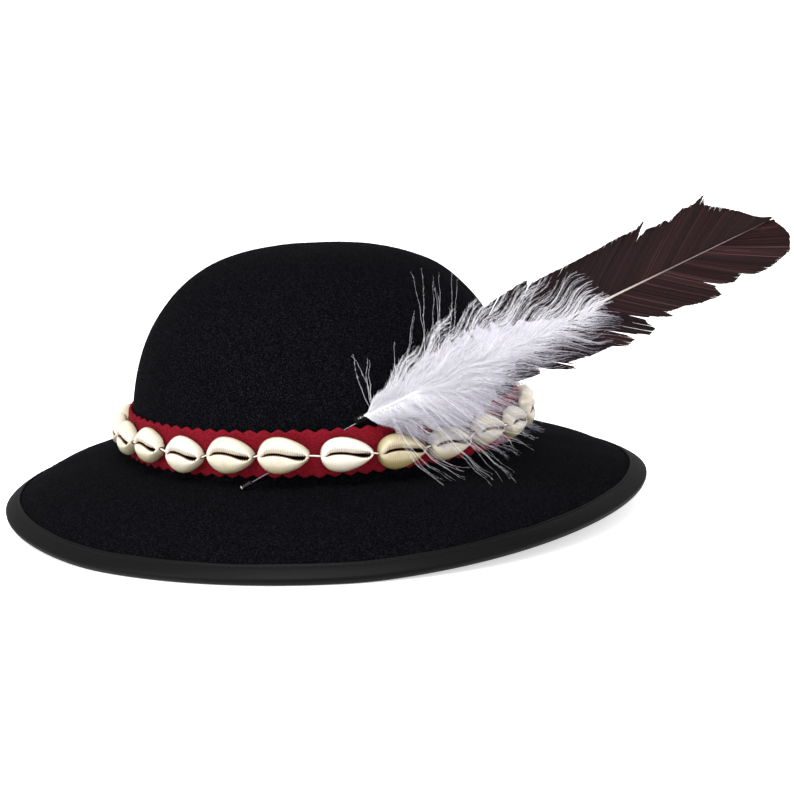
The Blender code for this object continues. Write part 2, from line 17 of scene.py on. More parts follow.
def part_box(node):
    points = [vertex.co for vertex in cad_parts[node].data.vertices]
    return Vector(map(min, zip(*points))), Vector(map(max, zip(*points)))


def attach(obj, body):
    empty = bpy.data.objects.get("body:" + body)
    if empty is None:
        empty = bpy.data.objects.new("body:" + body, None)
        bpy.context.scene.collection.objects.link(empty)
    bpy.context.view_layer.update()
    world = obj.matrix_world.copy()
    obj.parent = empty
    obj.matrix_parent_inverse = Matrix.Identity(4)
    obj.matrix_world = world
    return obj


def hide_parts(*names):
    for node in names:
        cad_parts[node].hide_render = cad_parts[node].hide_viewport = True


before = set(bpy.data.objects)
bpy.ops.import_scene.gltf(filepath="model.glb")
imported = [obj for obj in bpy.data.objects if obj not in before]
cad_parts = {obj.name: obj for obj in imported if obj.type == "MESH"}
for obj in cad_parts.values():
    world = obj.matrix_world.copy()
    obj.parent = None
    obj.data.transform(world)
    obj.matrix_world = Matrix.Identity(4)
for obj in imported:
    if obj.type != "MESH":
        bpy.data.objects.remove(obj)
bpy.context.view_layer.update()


# Studio: a sheet of white matt paper under the hat, large soft boxes and a white room.
# The camera looks down on the hat from its left side, a little tilted, as in the photograph.
CAMERA_OFFSET = Vector((0.0373, -1.0, 0.2208))      # from the middle of the head opening
CAMERA_PITCH = 0.1955           # radians below level
CAMERA_ROLL = 0.0345
CAMERA_LENS = 90.68             # mm, on a 36 mm sensor
PAPER_HALF = 60.0
PAPER_WHITE = "#fbfbfb"
CROWN_HEIGHT = 0.1017

felt_low, felt_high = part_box("crown_and_brim")
HAT_PLACE = Vector(((felt_low.x + felt_high.x) / 2, (felt_low.y + felt_high.y) / 2,
                    felt_high.z - CROWN_HEIGHT))


def linear(code):
    """sRGB hex to linear RGBA."""
    channels = [int(code[at:at + 2], 16) / 255 for at in (1, 3, 5)]
    return (*[c / 12.92 if c <= 0.04045 else ((c + 0.055) / 1.055) ** 2.4 for c in channels], 1.0)


def add(tree, kind, inputs=None, **settings):
    """Add one node. Each input is a value, or another node's socket to link from."""
    node = tree.nodes.new(kind)
    for name, value in settings.items():
        setattr(node, name, value)
    for socket, value in (inputs or {}).items():
        if isinstance(value, bpy.types.NodeSocket):
            tree.links.new(value, node.inputs[socket])
        else:
            node.inputs[socket].default_value = value
    return node


def finish(name, values):
    """A new material, its node tree and its shader, with uniform values set on the shader."""
    made = bpy.data.materials.new(name)
    made.use_nodes = True
    shader = made.node_tree.nodes["Principled BSDF"]
    for socket, value in values.items():
        shader.inputs[socket].default_value = value
    return made, made.node_tree, shader


def camera_axes(pitch, roll):
    """Camera's right, up and back, for a camera that faces +Y, tipped down and rolled."""
    level_up = Vector((0.0, math.sin(pitch), math.cos(pitch)))
    back = Vector((0.0, -math.cos(pitch), math.sin(pitch)))
    right = Vector((1.0, 0.0, 0.0))
    return (right * math.cos(roll) - level_up * math.sin(roll),
            right * math.sin(roll) + level_up * math.cos(roll), back)


def soft_box(name, place, size, watts):
    """Square area light that faces the hat."""
    light = bpy.data.lights.new(name, "AREA")
    light.size = size
    light.energy = watts
    made = bpy.data.objects.new(name, light)
    made.location = place
    made.rotation_euler = (Vector((0.0, 0.0, 0.06)) - Vector(place)).to_track_quat("-Z", "Y").to_euler()
    bpy.context.scene.collection.objects.link(made)


scene = bpy.context.scene
scene.view_settings.view_transform = "Standard"
camera = bpy.data.objects.new("camera", bpy.data.cameras.new("camera"))
camera.data.lens = CAMERA_LENS
camera.data.clip_start = 0.05
camera.matrix_world = (Matrix.Translation(HAT_PLACE + CAMERA_OFFSET)
                       @ Matrix(camera_axes(CAMERA_PITCH, CAMERA_ROLL)).transposed().to_4x4())
scene.collection.objects.link(camera)
scene.camera = camera

room = bpy.data.worlds.new("white_room")
room.use_nodes = True
room.node_tree.nodes["Background"].inputs["Color"].default_value = linear("#ffffff")
room.node_tree.nodes["Background"].inputs["Strength"].default_value = 1.0
scene.world = room

soft_box("overhead_box", (-0.2, -0.7, 1.25), 0.9, 15.0)
soft_box("left_box", (-1.15, -0.85, 0.75), 0.9, 11.0)
soft_box("right_box", (1.05, -0.9, 0.9), 0.8, 3.0)

paper_mesh = bpy.data.meshes.new("paper")
paper_mesh.from_pydata([(x * PAPER_HALF, y * PAPER_HALF, 0.0) for x, y in ((-1, -1), (1, -1), (1, 1), (-1, 1))],
                       [], [(0, 1, 2, 3)])
paper = bpy.data.objects.new("paper", paper_mesh)
scene.collection.objects.link(paper)
paper_finish, paper_tree, paper_shader = finish("matt_white_paper", {"Roughness": 0.9})
paper_shader.inputs["Base Color"].default_value = linear(PAPER_WHITE)
paper_shader.inputs["Emission Color"].default_value = linear("#ffffff")
paper_shader.inputs["Emission Strength"].default_value = 0.6
paper_mesh.materials.append(paper_finish)


# Felt body: one hood of black wool felt, wetted and blocked over a wooden crown and a brim
# board, then brushed. It is one hollow wall, slightly uneven, with a short nap all over.
CROWN_HALF_LENGTH = 0.098
CROWN_HALF_WIDTH = 0.087
CROWN_RISE_POWER = 2.307
CROWN_ROUND_POWER = 2.913
FELT_WALL = 0.002
BREAK_RADIUS = 0.002
BRIM_REACH = 0.0642
BRIM_DROP = 0.0245
BRIM_SIDE_LIFT = 0.0047
BRIM_BACK_LIFT = 0.00315
BRIM_TWIST = 0.0012
BRIM_START_SLOPE = 0.12
BRIM_CURVE_POWER = 2.55
REST_FLATTENING = 0.0012
REST_BLEND = 0.001
GAP = 0.0003
FELT_COLUMNS = 264
DOME_ROWS = 36
BRIM_ROWS = 24
FELT_UNEVEN_SIZE = 0.021
FELT_UNEVEN_DEPTH = 0.00045
FELT_PEBBLE_SIZE = 0.0035
FELT_PEBBLE_DEPTH = 0.00007
FELT_LOW = "#030304"
FELT_HIGH = "#1b1b20"
NAP_COUNT = 16000
NAP_LENGTH = 0.0011
NAP_WIDTH = 0.00005
NAP_GREY = "#1a191e"
BINDING_WIDTH = 0.009
BAND_TOP = 0.0240               # top of the band that covers the foot of the dome


def add_piece(name, points, faces, material, slot, stands_for=()):
    """Closed, smooth-shaded mesh, moved from the hat's own middle to the frame."""
    mesh = bpy.data.meshes.new(name)
    mesh.from_pydata((np.asarray(points, float) + np.array(HAT_PLACE)).tolist(), [],
                     faces.tolist() if isinstance(faces, np.ndarray) else faces)
    shape = bmesh.new()
    shape.from_mesh(mesh)
    bmesh.ops.recalc_face_normals(shape, faces=shape.faces[:])
    shape.to_mesh(mesh)
    shape.free()
    mesh.shade_smooth()
    mesh.materials.append(material)
    piece = bpy.data.objects.new(name, mesh)
    bpy.context.scene.collection.objects.link(piece)
    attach(piece, "root")
    if stands_for:
        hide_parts(*stands_for)
    return piece


def paint(piece, name, values):
    """Store one number a point, which the piece's material reads."""
    held = piece.data.attributes.new(name, "FLOAT", "POINT")
    held.data.foreach_set("value", np.asarray(values, np.float32))


def smooth_step(low, high, value):
    """0 at low, 1 at high, level at both."""
    share = min(max((value - low) / (high - low), 0.0), 1.0)
    return share * share * (3.0 - 2.0 * share)


def free_edge_height(angle):
    """Height of the brim's cut edge if nothing pressed on it."""
    wave = BRIM_SIDE_LIFT * math.cos(2 * angle) - BRIM_TWIST * math.sin(2 * angle)
    return -BRIM_DROP - wave + BRIM_BACK_LIFT * math.sin(angle)


LOWEST_FREE_EDGE = min(free_edge_height(math.radians(degree)) for degree in range(360))


def edge_height(angle):
    """The same with its lowest stretches flattened, as the hat stands on them."""
    level = LOWEST_FREE_EDGE + REST_FLATTENING
    above = free_edge_height(angle) - level
    if above <= 0.0:
        return level
    if above < REST_BLEND:
        return level + above * above / (2 * REST_BLEND)
    return level + above - REST_BLEND / 2


def brim_station(angle, reach):
    """Height and slope of the brim's upper face at a distance from the crown."""
    share = reach / BRIM_REACH
    curved = 1.0 - BRIM_START_SLOPE
    drop = BRIM_START_SLOPE * share + curved * share ** BRIM_CURVE_POWER
    steep = BRIM_START_SLOPE + curved * BRIM_CURVE_POWER * share ** (BRIM_CURVE_POWER - 1.0)
    edge = edge_height(angle)
    return edge * drop, edge * steep / BRIM_REACH


def off_brim(angle, reach, up, out=0.0):
    """Reach and height of a point off the brim's upper face, square to it and along it."""
    height, slope = brim_station(angle, reach)
    size = math.hypot(1.0, slope)
    return reach + (out - slope * up) / size, height + (slope * out + up) / size


def around(angle, reach, height):
    """Point at a distance outside the crown's oval."""
    return Vector(((CROWN_HALF_LENGTH + reach) * math.sin(angle),
                   -(CROWN_HALF_WIDTH + reach) * math.cos(angle), height))


def crown_share(height):
    """Width of the dome at a height, as a share of its width at the foot."""
    rise = min(max(height / CROWN_HEIGHT, 0.0), 1.0)
    return (1.0 - rise ** CROWN_RISE_POWER) ** (1.0 / CROWN_ROUND_POWER)


def binding_start(angle):
    """Reach at which the ribbon binding begins."""
    slope = brim_station(angle, BRIM_REACH)[1]
    return BRIM_REACH - BINDING_WIDTH / math.hypot(1.0, slope)


def uneven(point, share):
    """Hand-made unevenness of the felt, in metres, pushed out or in."""
    broad = noise.noise(point / FELT_UNEVEN_SIZE) * FELT_UNEVEN_DEPTH
    fine = noise.noise(point / FELT_PEBBLE_SIZE) * FELT_PEBBLE_DEPTH
    return (broad + fine) * share


def felt_profile(angle, inset, shown):
    """One face of the felt from near the top of the dome to the cut edge."""
    height = CROWN_HEIGHT - inset
    foot = math.asin((BREAK_RADIUS / height) ** (CROWN_RISE_POWER / 2))
    profile = []
    for row in range(1, DOME_ROWS + 1):
        turn = math.pi / 2 + (foot - math.pi / 2) * row / DOME_ROWS
        rise = height * math.sin(turn) ** (2 / CROWN_RISE_POWER)
        share = math.cos(turn) ** (2 / CROWN_ROUND_POWER)
        point = Vector(((CROWN_HALF_LENGTH - inset) * share * math.sin(angle),
                        -(CROWN_HALF_WIDTH - inset) * share * math.cos(angle), rise))
        if shown:
            out = Vector((point.x, point.y, point.z * smooth_step(0.03, 0.08, rise))).normalized()
            point += out * uneven(point, smooth_step(BAND_TOP, BAND_TOP + 0.012, rise))
        profile.append(point)
    radius = BREAK_RADIUS + inset
    for degree in (18, 36, 54, 72):
        turn = math.radians(degree)
        profile.append(around(angle, BREAK_RADIUS - radius * math.cos(turn),
                              BREAK_RADIUS - radius * math.sin(turn)))
    start = binding_start(angle)
    for row in range(BRIM_ROWS + 1):
        reach = BREAK_RADIUS + (start - BREAK_RADIUS) * row / BRIM_ROWS
        lift = 0.0
        if shown:
            covered = smooth_step(0.0, 0.008, reach) * (1.0 - smooth_step(start - 0.005, start, reach))
            lift = uneven(around(angle, reach, 0.0), covered)
        profile.append(around(angle, *off_brim(angle, reach, lift - inset)))
    profile.append(around(angle, *off_brim(angle, BRIM_REACH, -inset)))
    return profile


def loft(sections, ring):
    """Points and faces through like sections: a ring of them, or a run with two end faces."""
    count = len(sections[0])
    points = [point for section in sections for point in section]
    faces = []
    for row in range(len(sections) if ring else len(sections) - 1):
        here = row * count
        there = (row + 1) % len(sections) * count
        for k in range(count):
            after = (k + 1) % count
            faces.append((here + k, here + after, there + after, there + k))
    if not ring:
        faces.append(tuple(range(count)))
        faces.append(tuple(range(len(points) - count, len(points))))
    return points, faces


def speckle(tree, size, detail=3.0, stretch=(1.0, 1.0, 1.0)):
    """Noise with features of a real size in metres, wherever the surface turns."""
    place = add(tree, "ShaderNodeTexCoord").outputs["Object"]
    scaled = add(tree, "ShaderNodeMapping", {"Vector": place, "Scale": stretch})
    return add(tree, "ShaderNodeTexNoise", {"Vector": scaled.outputs["Vector"], "Scale": 1.0 / size,
                                            "Detail": detail, "Roughness": 0.6}).outputs["Fac"]


def ramp(tree, factor, *stops):
    """Colours along a factor: each stop is a place and an sRGB hex colour."""
    node = add(tree, "ShaderNodeValToRGB", {"Fac": factor})
    bar = node.color_ramp
    while len(bar.elements) < len(stops):
        bar.elements.new(0.5)
    for element, (place, code) in zip(bar.elements, stops):
        element.position = place
        element.color = linear(code)
    return node.outputs["Color"]


def rough_up(tree, shader, height, distance, strength=1.0):
    """Bump of a real depth in metres."""
    bump = add(tree, "ShaderNodeBump", {"Height": height, "Distance": distance, "Strength": strength})
    tree.links.new(bump.outputs["Normal"], shader.inputs["Normal"])


# Wool felt: matt, almost black, with a faint speckle where single fibres catch the light.
# Its fibres are 0.02 mm thick, too fine to show, so the tangle is drawn at about 0.5 mm.
felt, tree, shader = finish("black_wool_felt", {"Roughness": 0.95, "Specular IOR Level": 0.01})
tangle = speckle(tree, 0.0006, 4.0)
tree.links.new(ramp(tree, tangle, (0.48, FELT_LOW), (0.70, FELT_HIGH)), shader.inputs["Base Color"])
rough_up(tree, shader, tangle, 0.0004, 0.7)

columns = []
for column in range(FELT_COLUMNS):
    turn = 2 * math.pi * column / FELT_COLUMNS
    columns.append(felt_profile(turn, 0.0, True) + felt_profile(turn, FELT_WALL, False)[::-1])
rows = len(columns[0])
points = [point for column in columns for point in column]
faces = []
for column in range(FELT_COLUMNS):
    here = column * rows
    there = (column + 1) % FELT_COLUMNS * rows
    for row in range(rows - 1):
        faces.append((here + row, here + row + 1, there + row + 1, there + row))
    faces.append((here, there, len(points)))
    faces.append((here + rows - 1, there + rows - 1, len(points) + 1))
points.append(Vector((0, 0, CROWN_HEIGHT)))
points.append(Vector((0, 0, CROWN_HEIGHT - FELT_WALL)))
felt_body = add_piece("felt_body", points, faces, felt, "black_felt", ["crown_and_brim"])


def spikes(roots, tips, width):
    """Fine hairs, each a closed four-sided spike from its root to its tip."""
    roots, tips = np.asarray(roots), np.asarray(tips)
    along = tips - roots
    along /= np.linalg.norm(along, axis=1, keepdims=True)
    side = np.cross(along, np.where(np.abs(along[:, 2:3]) < 0.9, [[0.0, 0.0, 1.0]], [[1.0, 0.0, 0.0]]))
    side /= np.linalg.norm(side, axis=1, keepdims=True)
    other = np.cross(along, side)
    width = np.broadcast_to(np.asarray(width, float), (len(roots),))[:, None]
    corners = [roots + width * (math.cos(turn) * side + math.sin(turn) * other)
               for turn in (0.0, 2.094, 4.189)]
    points = np.stack(corners + [tips], axis=1).reshape(-1, 3)
    pattern = np.array([(0, 2, 1), (0, 1, 3), (1, 2, 3), (2, 0, 3)])
    return points, (np.arange(len(roots))[:, None, None] * 4 + pattern).reshape(-1, 3)


def felt_samples(count, draws):
    """Points spread evenly over the felt's outer face, with the face's direction there."""
    mesh = felt_body.data
    outer = [face for face in mesh.polygons
             if len(face.vertices) == 4 and face.vertices[0] % rows < DOME_ROWS + BRIM_ROWS + 3
             and face.vertices[2] % rows < DOME_ROWS + BRIM_ROWS + 4]
    areas = np.array([face.area for face in outer])
    chosen = draws.choice(len(outer), size=count, p=areas / areas.sum())
    places, normals = np.empty((count, 3)), np.empty((count, 3))
    for at, pick in enumerate(chosen):
        corners = [mesh.vertices[v].co for v in outer[pick].vertices]
        a, b = draws.random(2)
        low = corners[0].lerp(corners[1], a)
        high = corners[3].lerp(corners[2], a)
        places[at] = low.lerp(high, b)
        normals[at] = outer[pick].normal
    return places - np.array(HAT_PLACE), normals


# The nap is a separate layer of loose fibre ends that stand off the felt by less than 1 mm.
draws = np.random.default_rng(7)
roots, normals = felt_samples(NAP_COUNT, draws)
stray = draws.normal(size=(NAP_COUNT, 3))
stray -= (stray * normals).sum(axis=1, keepdims=True) * normals
stray /= np.linalg.norm(stray, axis=1, keepdims=True)
lengths = NAP_LENGTH * draws.uniform(0.5, 1.4, (NAP_COUNT, 1))
tips = roots + (stray * draws.uniform(0.6, 1.0, (NAP_COUNT, 1)) + normals * draws.uniform(0.15, 0.6, (NAP_COUNT, 1))) * lengths
nap, tree, shader = finish("black_wool_nap", {"Roughness": 0.9, "Specular IOR Level": 0.02})
tree.links.new(ramp(tree, speckle(tree, 0.002), (0.4, "#040405"), (0.7, NAP_GREY)), shader.inputs["Base Color"])
add_piece("felt_nap", *spikes(roots - normals * 0.0001, tips, NAP_WIDTH), nap, "black_felt")


# Binding: black ribbed ribbon of about 20 mm, folded over the cut edge of the brim, steamed
# to the curve and sewn through with one row of black thread near both of its woven edges.
BINDING_THICKNESS = 0.001
RIB_PITCH = 0.00085
RIB_DEPTH = 0.00016
STITCH_INSET = 0.0013
STITCH_PITCH = 0.0032
STITCH_LENGTH = 0.0022
RIBBON_BLACK = "#060607"


def binding_path(angle):
    """The ribbon across its width: outer face from upper to lower edge, then its inner face."""
    start = binding_start(angle)
    skin = GAP + BINDING_THICKNESS
    wander = 0.0003 * noise.noise(around(angle, 0.0, 0.0) / 0.013)
    width = BRIM_REACH - start - wander
    # share of the ribbon's width, height over the felt as a share of its thickness
    crown = ((0.0, 0.15), (0.015, 0.52), (0.05, 0.62), (0.11, 0.55), (0.15, 0.42), (0.19, 0.55),
             (0.32, 0.80), (0.5, 0.95), (0.7, 1.0), (0.86, 1.0))
    upper = [off_brim(angle, start + wander + width * share, GAP + BINDING_THICKNESS * rise)
             for share, rise in crown]
    fold = []
    half = (FELT_WALL + 2 * skin) / 2
    for degree in (65, 30, 0, -30, -65):
        turn = math.radians(degree)
        fold.append(off_brim(angle, BRIM_REACH - 0.0002, half * math.sin(turn) - FELT_WALL / 2,
                             skin * math.cos(turn)))
    lower = [off_brim(angle, start + wander + width * share, -FELT_WALL - GAP - BINDING_THICKNESS * rise)
             for share, rise in crown[::-2]]
    inner = [off_brim(angle, start + wander + width * share, -FELT_WALL - GAP * 0.7)
             for share in (0.02, 0.98)]
    inner += [off_brim(angle, BRIM_REACH, up, GAP * 0.7) for up in (-FELT_WALL - GAP * 0.7, GAP * 0.7)]
    inner += [off_brim(angle, start + wander + width * share, GAP * 0.7) for share in (0.98, 0.02)]
    return upper + fold + lower, inner


perimeter = sum((around(math.radians(d + 1), BRIM_REACH, 0) - around(math.radians(d), BRIM_REACH, 0)).length
                for d in range(360))
rib_columns = 2 * round(perimeter / RIB_PITCH)
ground = -HAT_PLACE.z
sections = []
shade = []
for column in range(rib_columns):
    turn = 2 * math.pi * column / rib_columns
    outer, inner = binding_path(turn)
    raised = RIB_DEPTH * (0.5 if column % 2 else -0.5)
    section = []
    for at, (reach, height) in enumerate(outer):
        before, after = outer[max(at - 1, 0)], outer[min(at + 1, len(outer) - 1)]
        run, rise = after[0] - before[0], after[1] - before[1]
        size = math.hypot(run, rise)
        out = -rise / size * raised, run / size * raised
        section.append(around(turn, reach + out[0], max(height + out[1], ground)))
        # Ridge columns get 1 and furrow columns 0: the furrows are painted darker as shade.
        shade.append(float(column % 2))
    # The inner face against the felt gets 0, painted darkest as shade.
    for reach, height in inner:
        section.append(around(turn, reach, max(height, ground + 0.0002)))
        shade.append(0.0)
    sections.append(section)

# Woven rayon ribbon: low, silky gloss along each rib, and painted shade that darkens the furrows between them and the
# inner face against the felt.
ribbon, tree, shader = finish("black_grosgrain_ribbon", {"Roughness": 0.45, "Specular IOR Level": 0.09})
rib = add(tree, "ShaderNodeAttribute", attribute_name="rib").outputs["Fac"]
tree.links.new(ramp(tree, rib, (0.0, "#010101"), (1.0, RIBBON_BLACK)), shader.inputs["Base Color"])
rough_up(tree, shader, speckle(tree, 0.0004), 0.0001, 0.5)
binding = add_piece("edge_ribbon", *loft(sections, ring=True), ribbon, "black_ribbon", ["brim_binding"])
paint(binding, "rib", shade)

stitch_faces = []
stitch_count = round(perimeter / STITCH_PITCH)
stitch_points = []
for number in range(stitch_count):
    for side in (0, 1):
        centre_turn = 2 * math.pi * (number + 0.5 * side) / stitch_count
        half_turn = math.pi * STITCH_LENGTH / perimeter
        rings = []
        for share in (-1.0, -0.7, 0.7, 1.0):
            turn = centre_turn + half_turn * share
            reach = binding_start(turn) + STITCH_INSET
            lift = GAP + BINDING_THICKNESS * 0.45 + 0.00012 * (1 - share * share)
            radius = 0.00016 * (1.0 - 0.6 * abs(share) ** 6)
            up = lift if side == 0 else -FELT_WALL - lift
            rings.append([around(turn, *off_brim(turn, reach + radius * math.cos(spoke),
                                                 up + radius * math.sin(spoke)))
                          for spoke in (0.0, 1.257, 2.513, 3.770, 5.027)])
        points, faces = loft(rings, ring=False)
        stitch_faces += [tuple(corner + len(stitch_points) for corner in face) for face in faces]
        stitch_points += points
cotton_black, tree, shader = finish("black_sewing_cotton", {"Roughness": 0.7, "Specular IOR Level": 0.1})
tree.links.new(ramp(tree, speckle(tree, 0.0005), (0.3, "#0b0b0c"), (0.7, "#1a1a1c")), shader.inputs["Base Color"])
add_piece("binding_stitches", stitch_points, stitch_faces, cotton_black, "black_ribbon")


# Pin and winding: where the steel pin runs, which the band and the shells make room for.
# The pin is pushed through the winding of the feathers, behind the band and out over the brim.
WRAP_X = 0.0203
WRAP_HEIGHT = 0.0304
WRAP_LENGTH = 0.006
WRAP_WALL = 0.0006
QUILL_SHAFT_RADIUS = 0.0007
DOWN_SHAFT_RADIUS = 0.0005
PIN_RADIUS = 0.00035
PIN_END_X = -0.0352
PIN_END_REACH = 0.0120
PIN_PAST_WRAP = 0.0045
CLUTCH_RADIUS = 0.0015
CLUTCH_LENGTH = 0.0058

shaft_spread = (QUILL_SHAFT_RADIUS + DOWN_SHAFT_RADIUS + GAP) / 2
wrap_bore = math.hypot(shaft_spread, PIN_RADIUS) + QUILL_SHAFT_RADIUS + GAP
wrap_outer = wrap_bore + WRAP_WALL
wrap_level = crown_share(WRAP_HEIGHT)
wrap_side = CROWN_HALF_WIDTH * wrap_level * math.sqrt(1 - (WRAP_X / (CROWN_HALF_LENGTH * wrap_level)) ** 2)
wrap_centre = Vector((WRAP_X, -wrap_side - 2 * GAP - wrap_outer, WRAP_HEIGHT))
pin_head = wrap_centre - Vector((0, 0, QUILL_SHAFT_RADIUS + PIN_RADIUS))
pin_across = PIN_END_X / CROWN_HALF_LENGTH
pin_out = CROWN_HALF_WIDTH * math.sqrt(1 - pin_across ** 2) + PIN_END_REACH
pin_turn = math.atan2(pin_across, pin_out / CROWN_HALF_WIDTH)
pin_reach = ((math.hypot(pin_across, pin_out / CROWN_HALF_WIDTH) - 1)
             * math.hypot(CROWN_HALF_LENGTH * math.sin(pin_turn), CROWN_HALF_WIDTH * math.cos(pin_turn)))
pin_end = Vector((PIN_END_X, -pin_out, off_brim(pin_turn, pin_reach, CLUTCH_RADIUS + 2 * GAP)[1]))
pin_along = (pin_head - pin_end).normalized()


def turned(axis_start, axis_way, profile, sides):
    """Solid turned about an axis: profile holds distance along and radius, end to end."""
    turn_to = axis_way.to_track_quat("Z", "Y").to_matrix()
    rings = []
    for along, radius in profile:
        rings.append([axis_start + axis_way * along
                      + turn_to @ Vector((radius * math.cos(2 * math.pi * side / sides),
                                          radius * math.sin(2 * math.pi * side / sides), 0))
                      for side in range(sides)])
    return loft(rings, ring=False)


# Drawn steel wire, nickel plated: a hard narrow glint along its upper side.
steel, tree, shader = finish("nickel_plated_steel", {"Metallic": 1.0, "Roughness": 0.22})
tree.links.new(ramp(tree, speckle(tree, 0.002), (0.3, "#57565b"), (0.7, "#85848a")), shader.inputs["Base Color"])
pin_length = (pin_head - pin_end).length + PIN_PAST_WRAP
pin_profile = ((0.0, PIN_RADIUS * 0.15), (0.0012, PIN_RADIUS * 0.6), (0.004, PIN_RADIUS * 0.95),
               (0.007, PIN_RADIUS), (pin_length - 0.0003, PIN_RADIUS), (pin_length, PIN_RADIUS * 0.5))
add_piece("steel_pin", *turned(pin_end, pin_along, pin_profile, 20), steel, "pin_steel", ["hat_pin"])

# Pressed brass cap, blackened, with its mouth ring painted bright.
gunmetal, tree, shader = finish("blackened_brass", {"Metallic": 1.0, "Roughness": 0.35})
worn = add(tree, "ShaderNodeAttribute", attribute_name="worn").outputs["Fac"]
tree.links.new(ramp(tree, worn, (0.0, "#2a282b"), (1.0, "#b9b0a6")), shader.inputs["Base Color"])
clutch_start = pin_end - pin_along * CLUTCH_LENGTH * 0.3
clutch_bore = PIN_RADIUS + 0.00005
cap = ((0.0, clutch_bore), (0.0, 0.60), (0.04, 0.80), (0.08, 0.84), (0.12, 0.80), (0.15, 0.66), (0.30, 0.68),
       (0.55, 0.74), (0.72, 0.76), (0.78, 0.98), (0.84, 1.0), (0.88, 0.96), (0.92, 0.80), (1.0, 0.70),
       (1.0, clutch_bore))
turn_to = pin_along.to_track_quat("Z", "Y").to_matrix()
sections = []
for share, radius in cap:
    radius = radius if radius == clutch_bore else radius * CLUTCH_RADIUS
    sections.append([clutch_start + pin_along * CLUTCH_LENGTH * share
                     + turn_to @ Vector((radius * math.cos(side * math.pi / 12),
                                         radius * math.sin(side * math.pi / 12), 0)) for side in range(24)])
clutch = add_piece("pin_cap", *loft(sections, ring=True), gunmetal, "clutch_metal", ["pin_clutch"])
# The ring at the cap's end is painted bright.
paint(clutch, "worn", [1.0 if share < 0.1 else 0.0 for share, _radius in cap for _side in range(24)])


# Band: one strip of red wool felt, pinked along both edges with scalloping shears, laid
# around the foot of the crown. Its cut edges are a little soft and it waves very slightly.
BAND_FOOT = 0.0034
BAND_WIDTH = 0.023
BAND_TILT = 0.0022              # higher by this at the +X end, lower at the -X end
BAND_THICKNESS = 0.0015
BAND_TOOTH_PITCH = 0.0072
BAND_TOOTH_DEPTH = 0.0017
BAND_GAP = 0.0005
SHELL_COUNT = 24
SHELL_LENGTH = 0.0235
SHELL_HEIGHT = 0.0165
SHELL_DEPTH = 0.0082
SHELL_STRING_HEIGHT = 0.0146
SHELL_BORE_DEPTH = 0.0036
SHELL_START = 0.0131
TOOTH_COLUMNS = 12
BAND_RED_LOW = "#480911"
BAND_RED_HIGH = "#7e1522"


def pin_at(x):
    """Point of the pin's axis at a place along X."""
    return pin_end + (pin_head - pin_end) * ((x - pin_end.x) / (pin_head.x - pin_end.x))


def band_lift(angle):
    """How far the band stands off the crown to pass over the pin before the pin comes out."""
    on_crown = around(angle, BAND_GAP, 0.0)
    if on_crown.y > 0.0:
        return 0.0
    x = min(max(on_crown.x, 0.0), pin_head.x)
    base = around(math.asin(x / (CROWN_HALF_LENGTH + BAND_GAP)), BAND_GAP, 0.0)
    needed = base.y - (pin_at(x).y - PIN_RADIUS - GAP)
    fade_in = smooth_step(-0.45 * SHELL_LENGTH, 0.0, on_crown.x)
    fade_out = 1.0 - smooth_step(pin_head.x, pin_head.x + SHELL_LENGTH, on_crown.x)
    return max(needed, 0.0) * fade_in * fade_out


def band_surface(angle, height, depth):
    """Point on the band, a depth in front of its back face, at a height before the tilt."""
    height += BAND_TILT * math.sin(angle)
    lean = crown_share(height)
    off = BAND_GAP + band_lift(angle) + depth
    return Vector(((CROWN_HALF_LENGTH * lean + off) * math.sin(angle),
                   -(CROWN_HALF_WIDTH * lean + off) * math.cos(angle), height))


def arc_table(reach, steps=1440):
    """Arc lengths from the -Y point, and the angles there, on an oval outside the crown."""
    places, angles = [0.0], [0.0]
    before = around(0.0, reach, 0.0)
    for step in range(1, steps + 1):
        here = around(2 * math.pi * step / steps, reach, 0.0)
        places.append(places[-1] + (here - before).length)
        angles.append(2 * math.pi * step / steps)
        before = here
    return places, angles


BAND_ARCS = arc_table(BAND_GAP + BAND_THICKNESS)
SHELL_ARCS = arc_table(BAND_GAP + BAND_THICKNESS + GAP + SHELL_BORE_DEPTH)


def angle_at(table, arc):
    """Angle at an arc length, either way round."""
    return float(np.interp(arc % table[0][-1], *table))


def pinked(arc, phase):
    """How far the cut edge falls back between two teeth: rounded points, sharp valleys."""
    share = (arc / tooth_pitch + phase) % 1.0
    bow = abs(share - 0.5) * 2
    return BAND_TOOTH_DEPTH * (0.35 * bow * bow + 0.65 * bow)


tooth_count = round(BAND_ARCS[0][-1] / BAND_TOOTH_PITCH)
tooth_pitch = BAND_ARCS[0][-1] / tooth_count
# place across the band's width, and depth as a share of its thickness, once round its section
BAND_SECTION = ((0.0, 0.12), (0.0, 0.70), (0.018, 0.93), (0.05, 1.0), (0.15, 1.0), (0.3, 1.0), (0.45, 1.0),
                (0.6, 1.0), (0.75, 1.0), (0.87, 1.0), (0.95, 1.0), (0.982, 0.93), (1.0, 0.70), (1.0, 0.12),
                (0.98, 0.0), (0.75, 0.0), (0.5, 0.0), (0.25, 0.0), (0.02, 0.0))
sections = []
for step in range(tooth_count * TOOTH_COLUMNS):
    arc = tooth_pitch * step / TOOTH_COLUMNS
    turn = angle_at(BAND_ARCS, arc)
    low = BAND_FOOT + pinked(arc, 0.5)
    high = BAND_FOOT + BAND_WIDTH - pinked(arc, 0.2)
    wave = 0.00035 * noise.noise(Vector((arc / 0.021, 3.0, 0.0)))
    section = []
    for across, depth in BAND_SECTION:
        edge = abs(across - 0.5) * 2
        puff = 0.00012 * noise.noise(Vector((arc / 0.006, across * 4.0, 1.0))) if depth > 0.9 else 0.0
        lift = max(wave, 0.0) * edge ** 3
        section.append(band_surface(turn, low + (high - low) * across, BAND_THICKNESS * depth + puff + lift))
    sections.append(section)

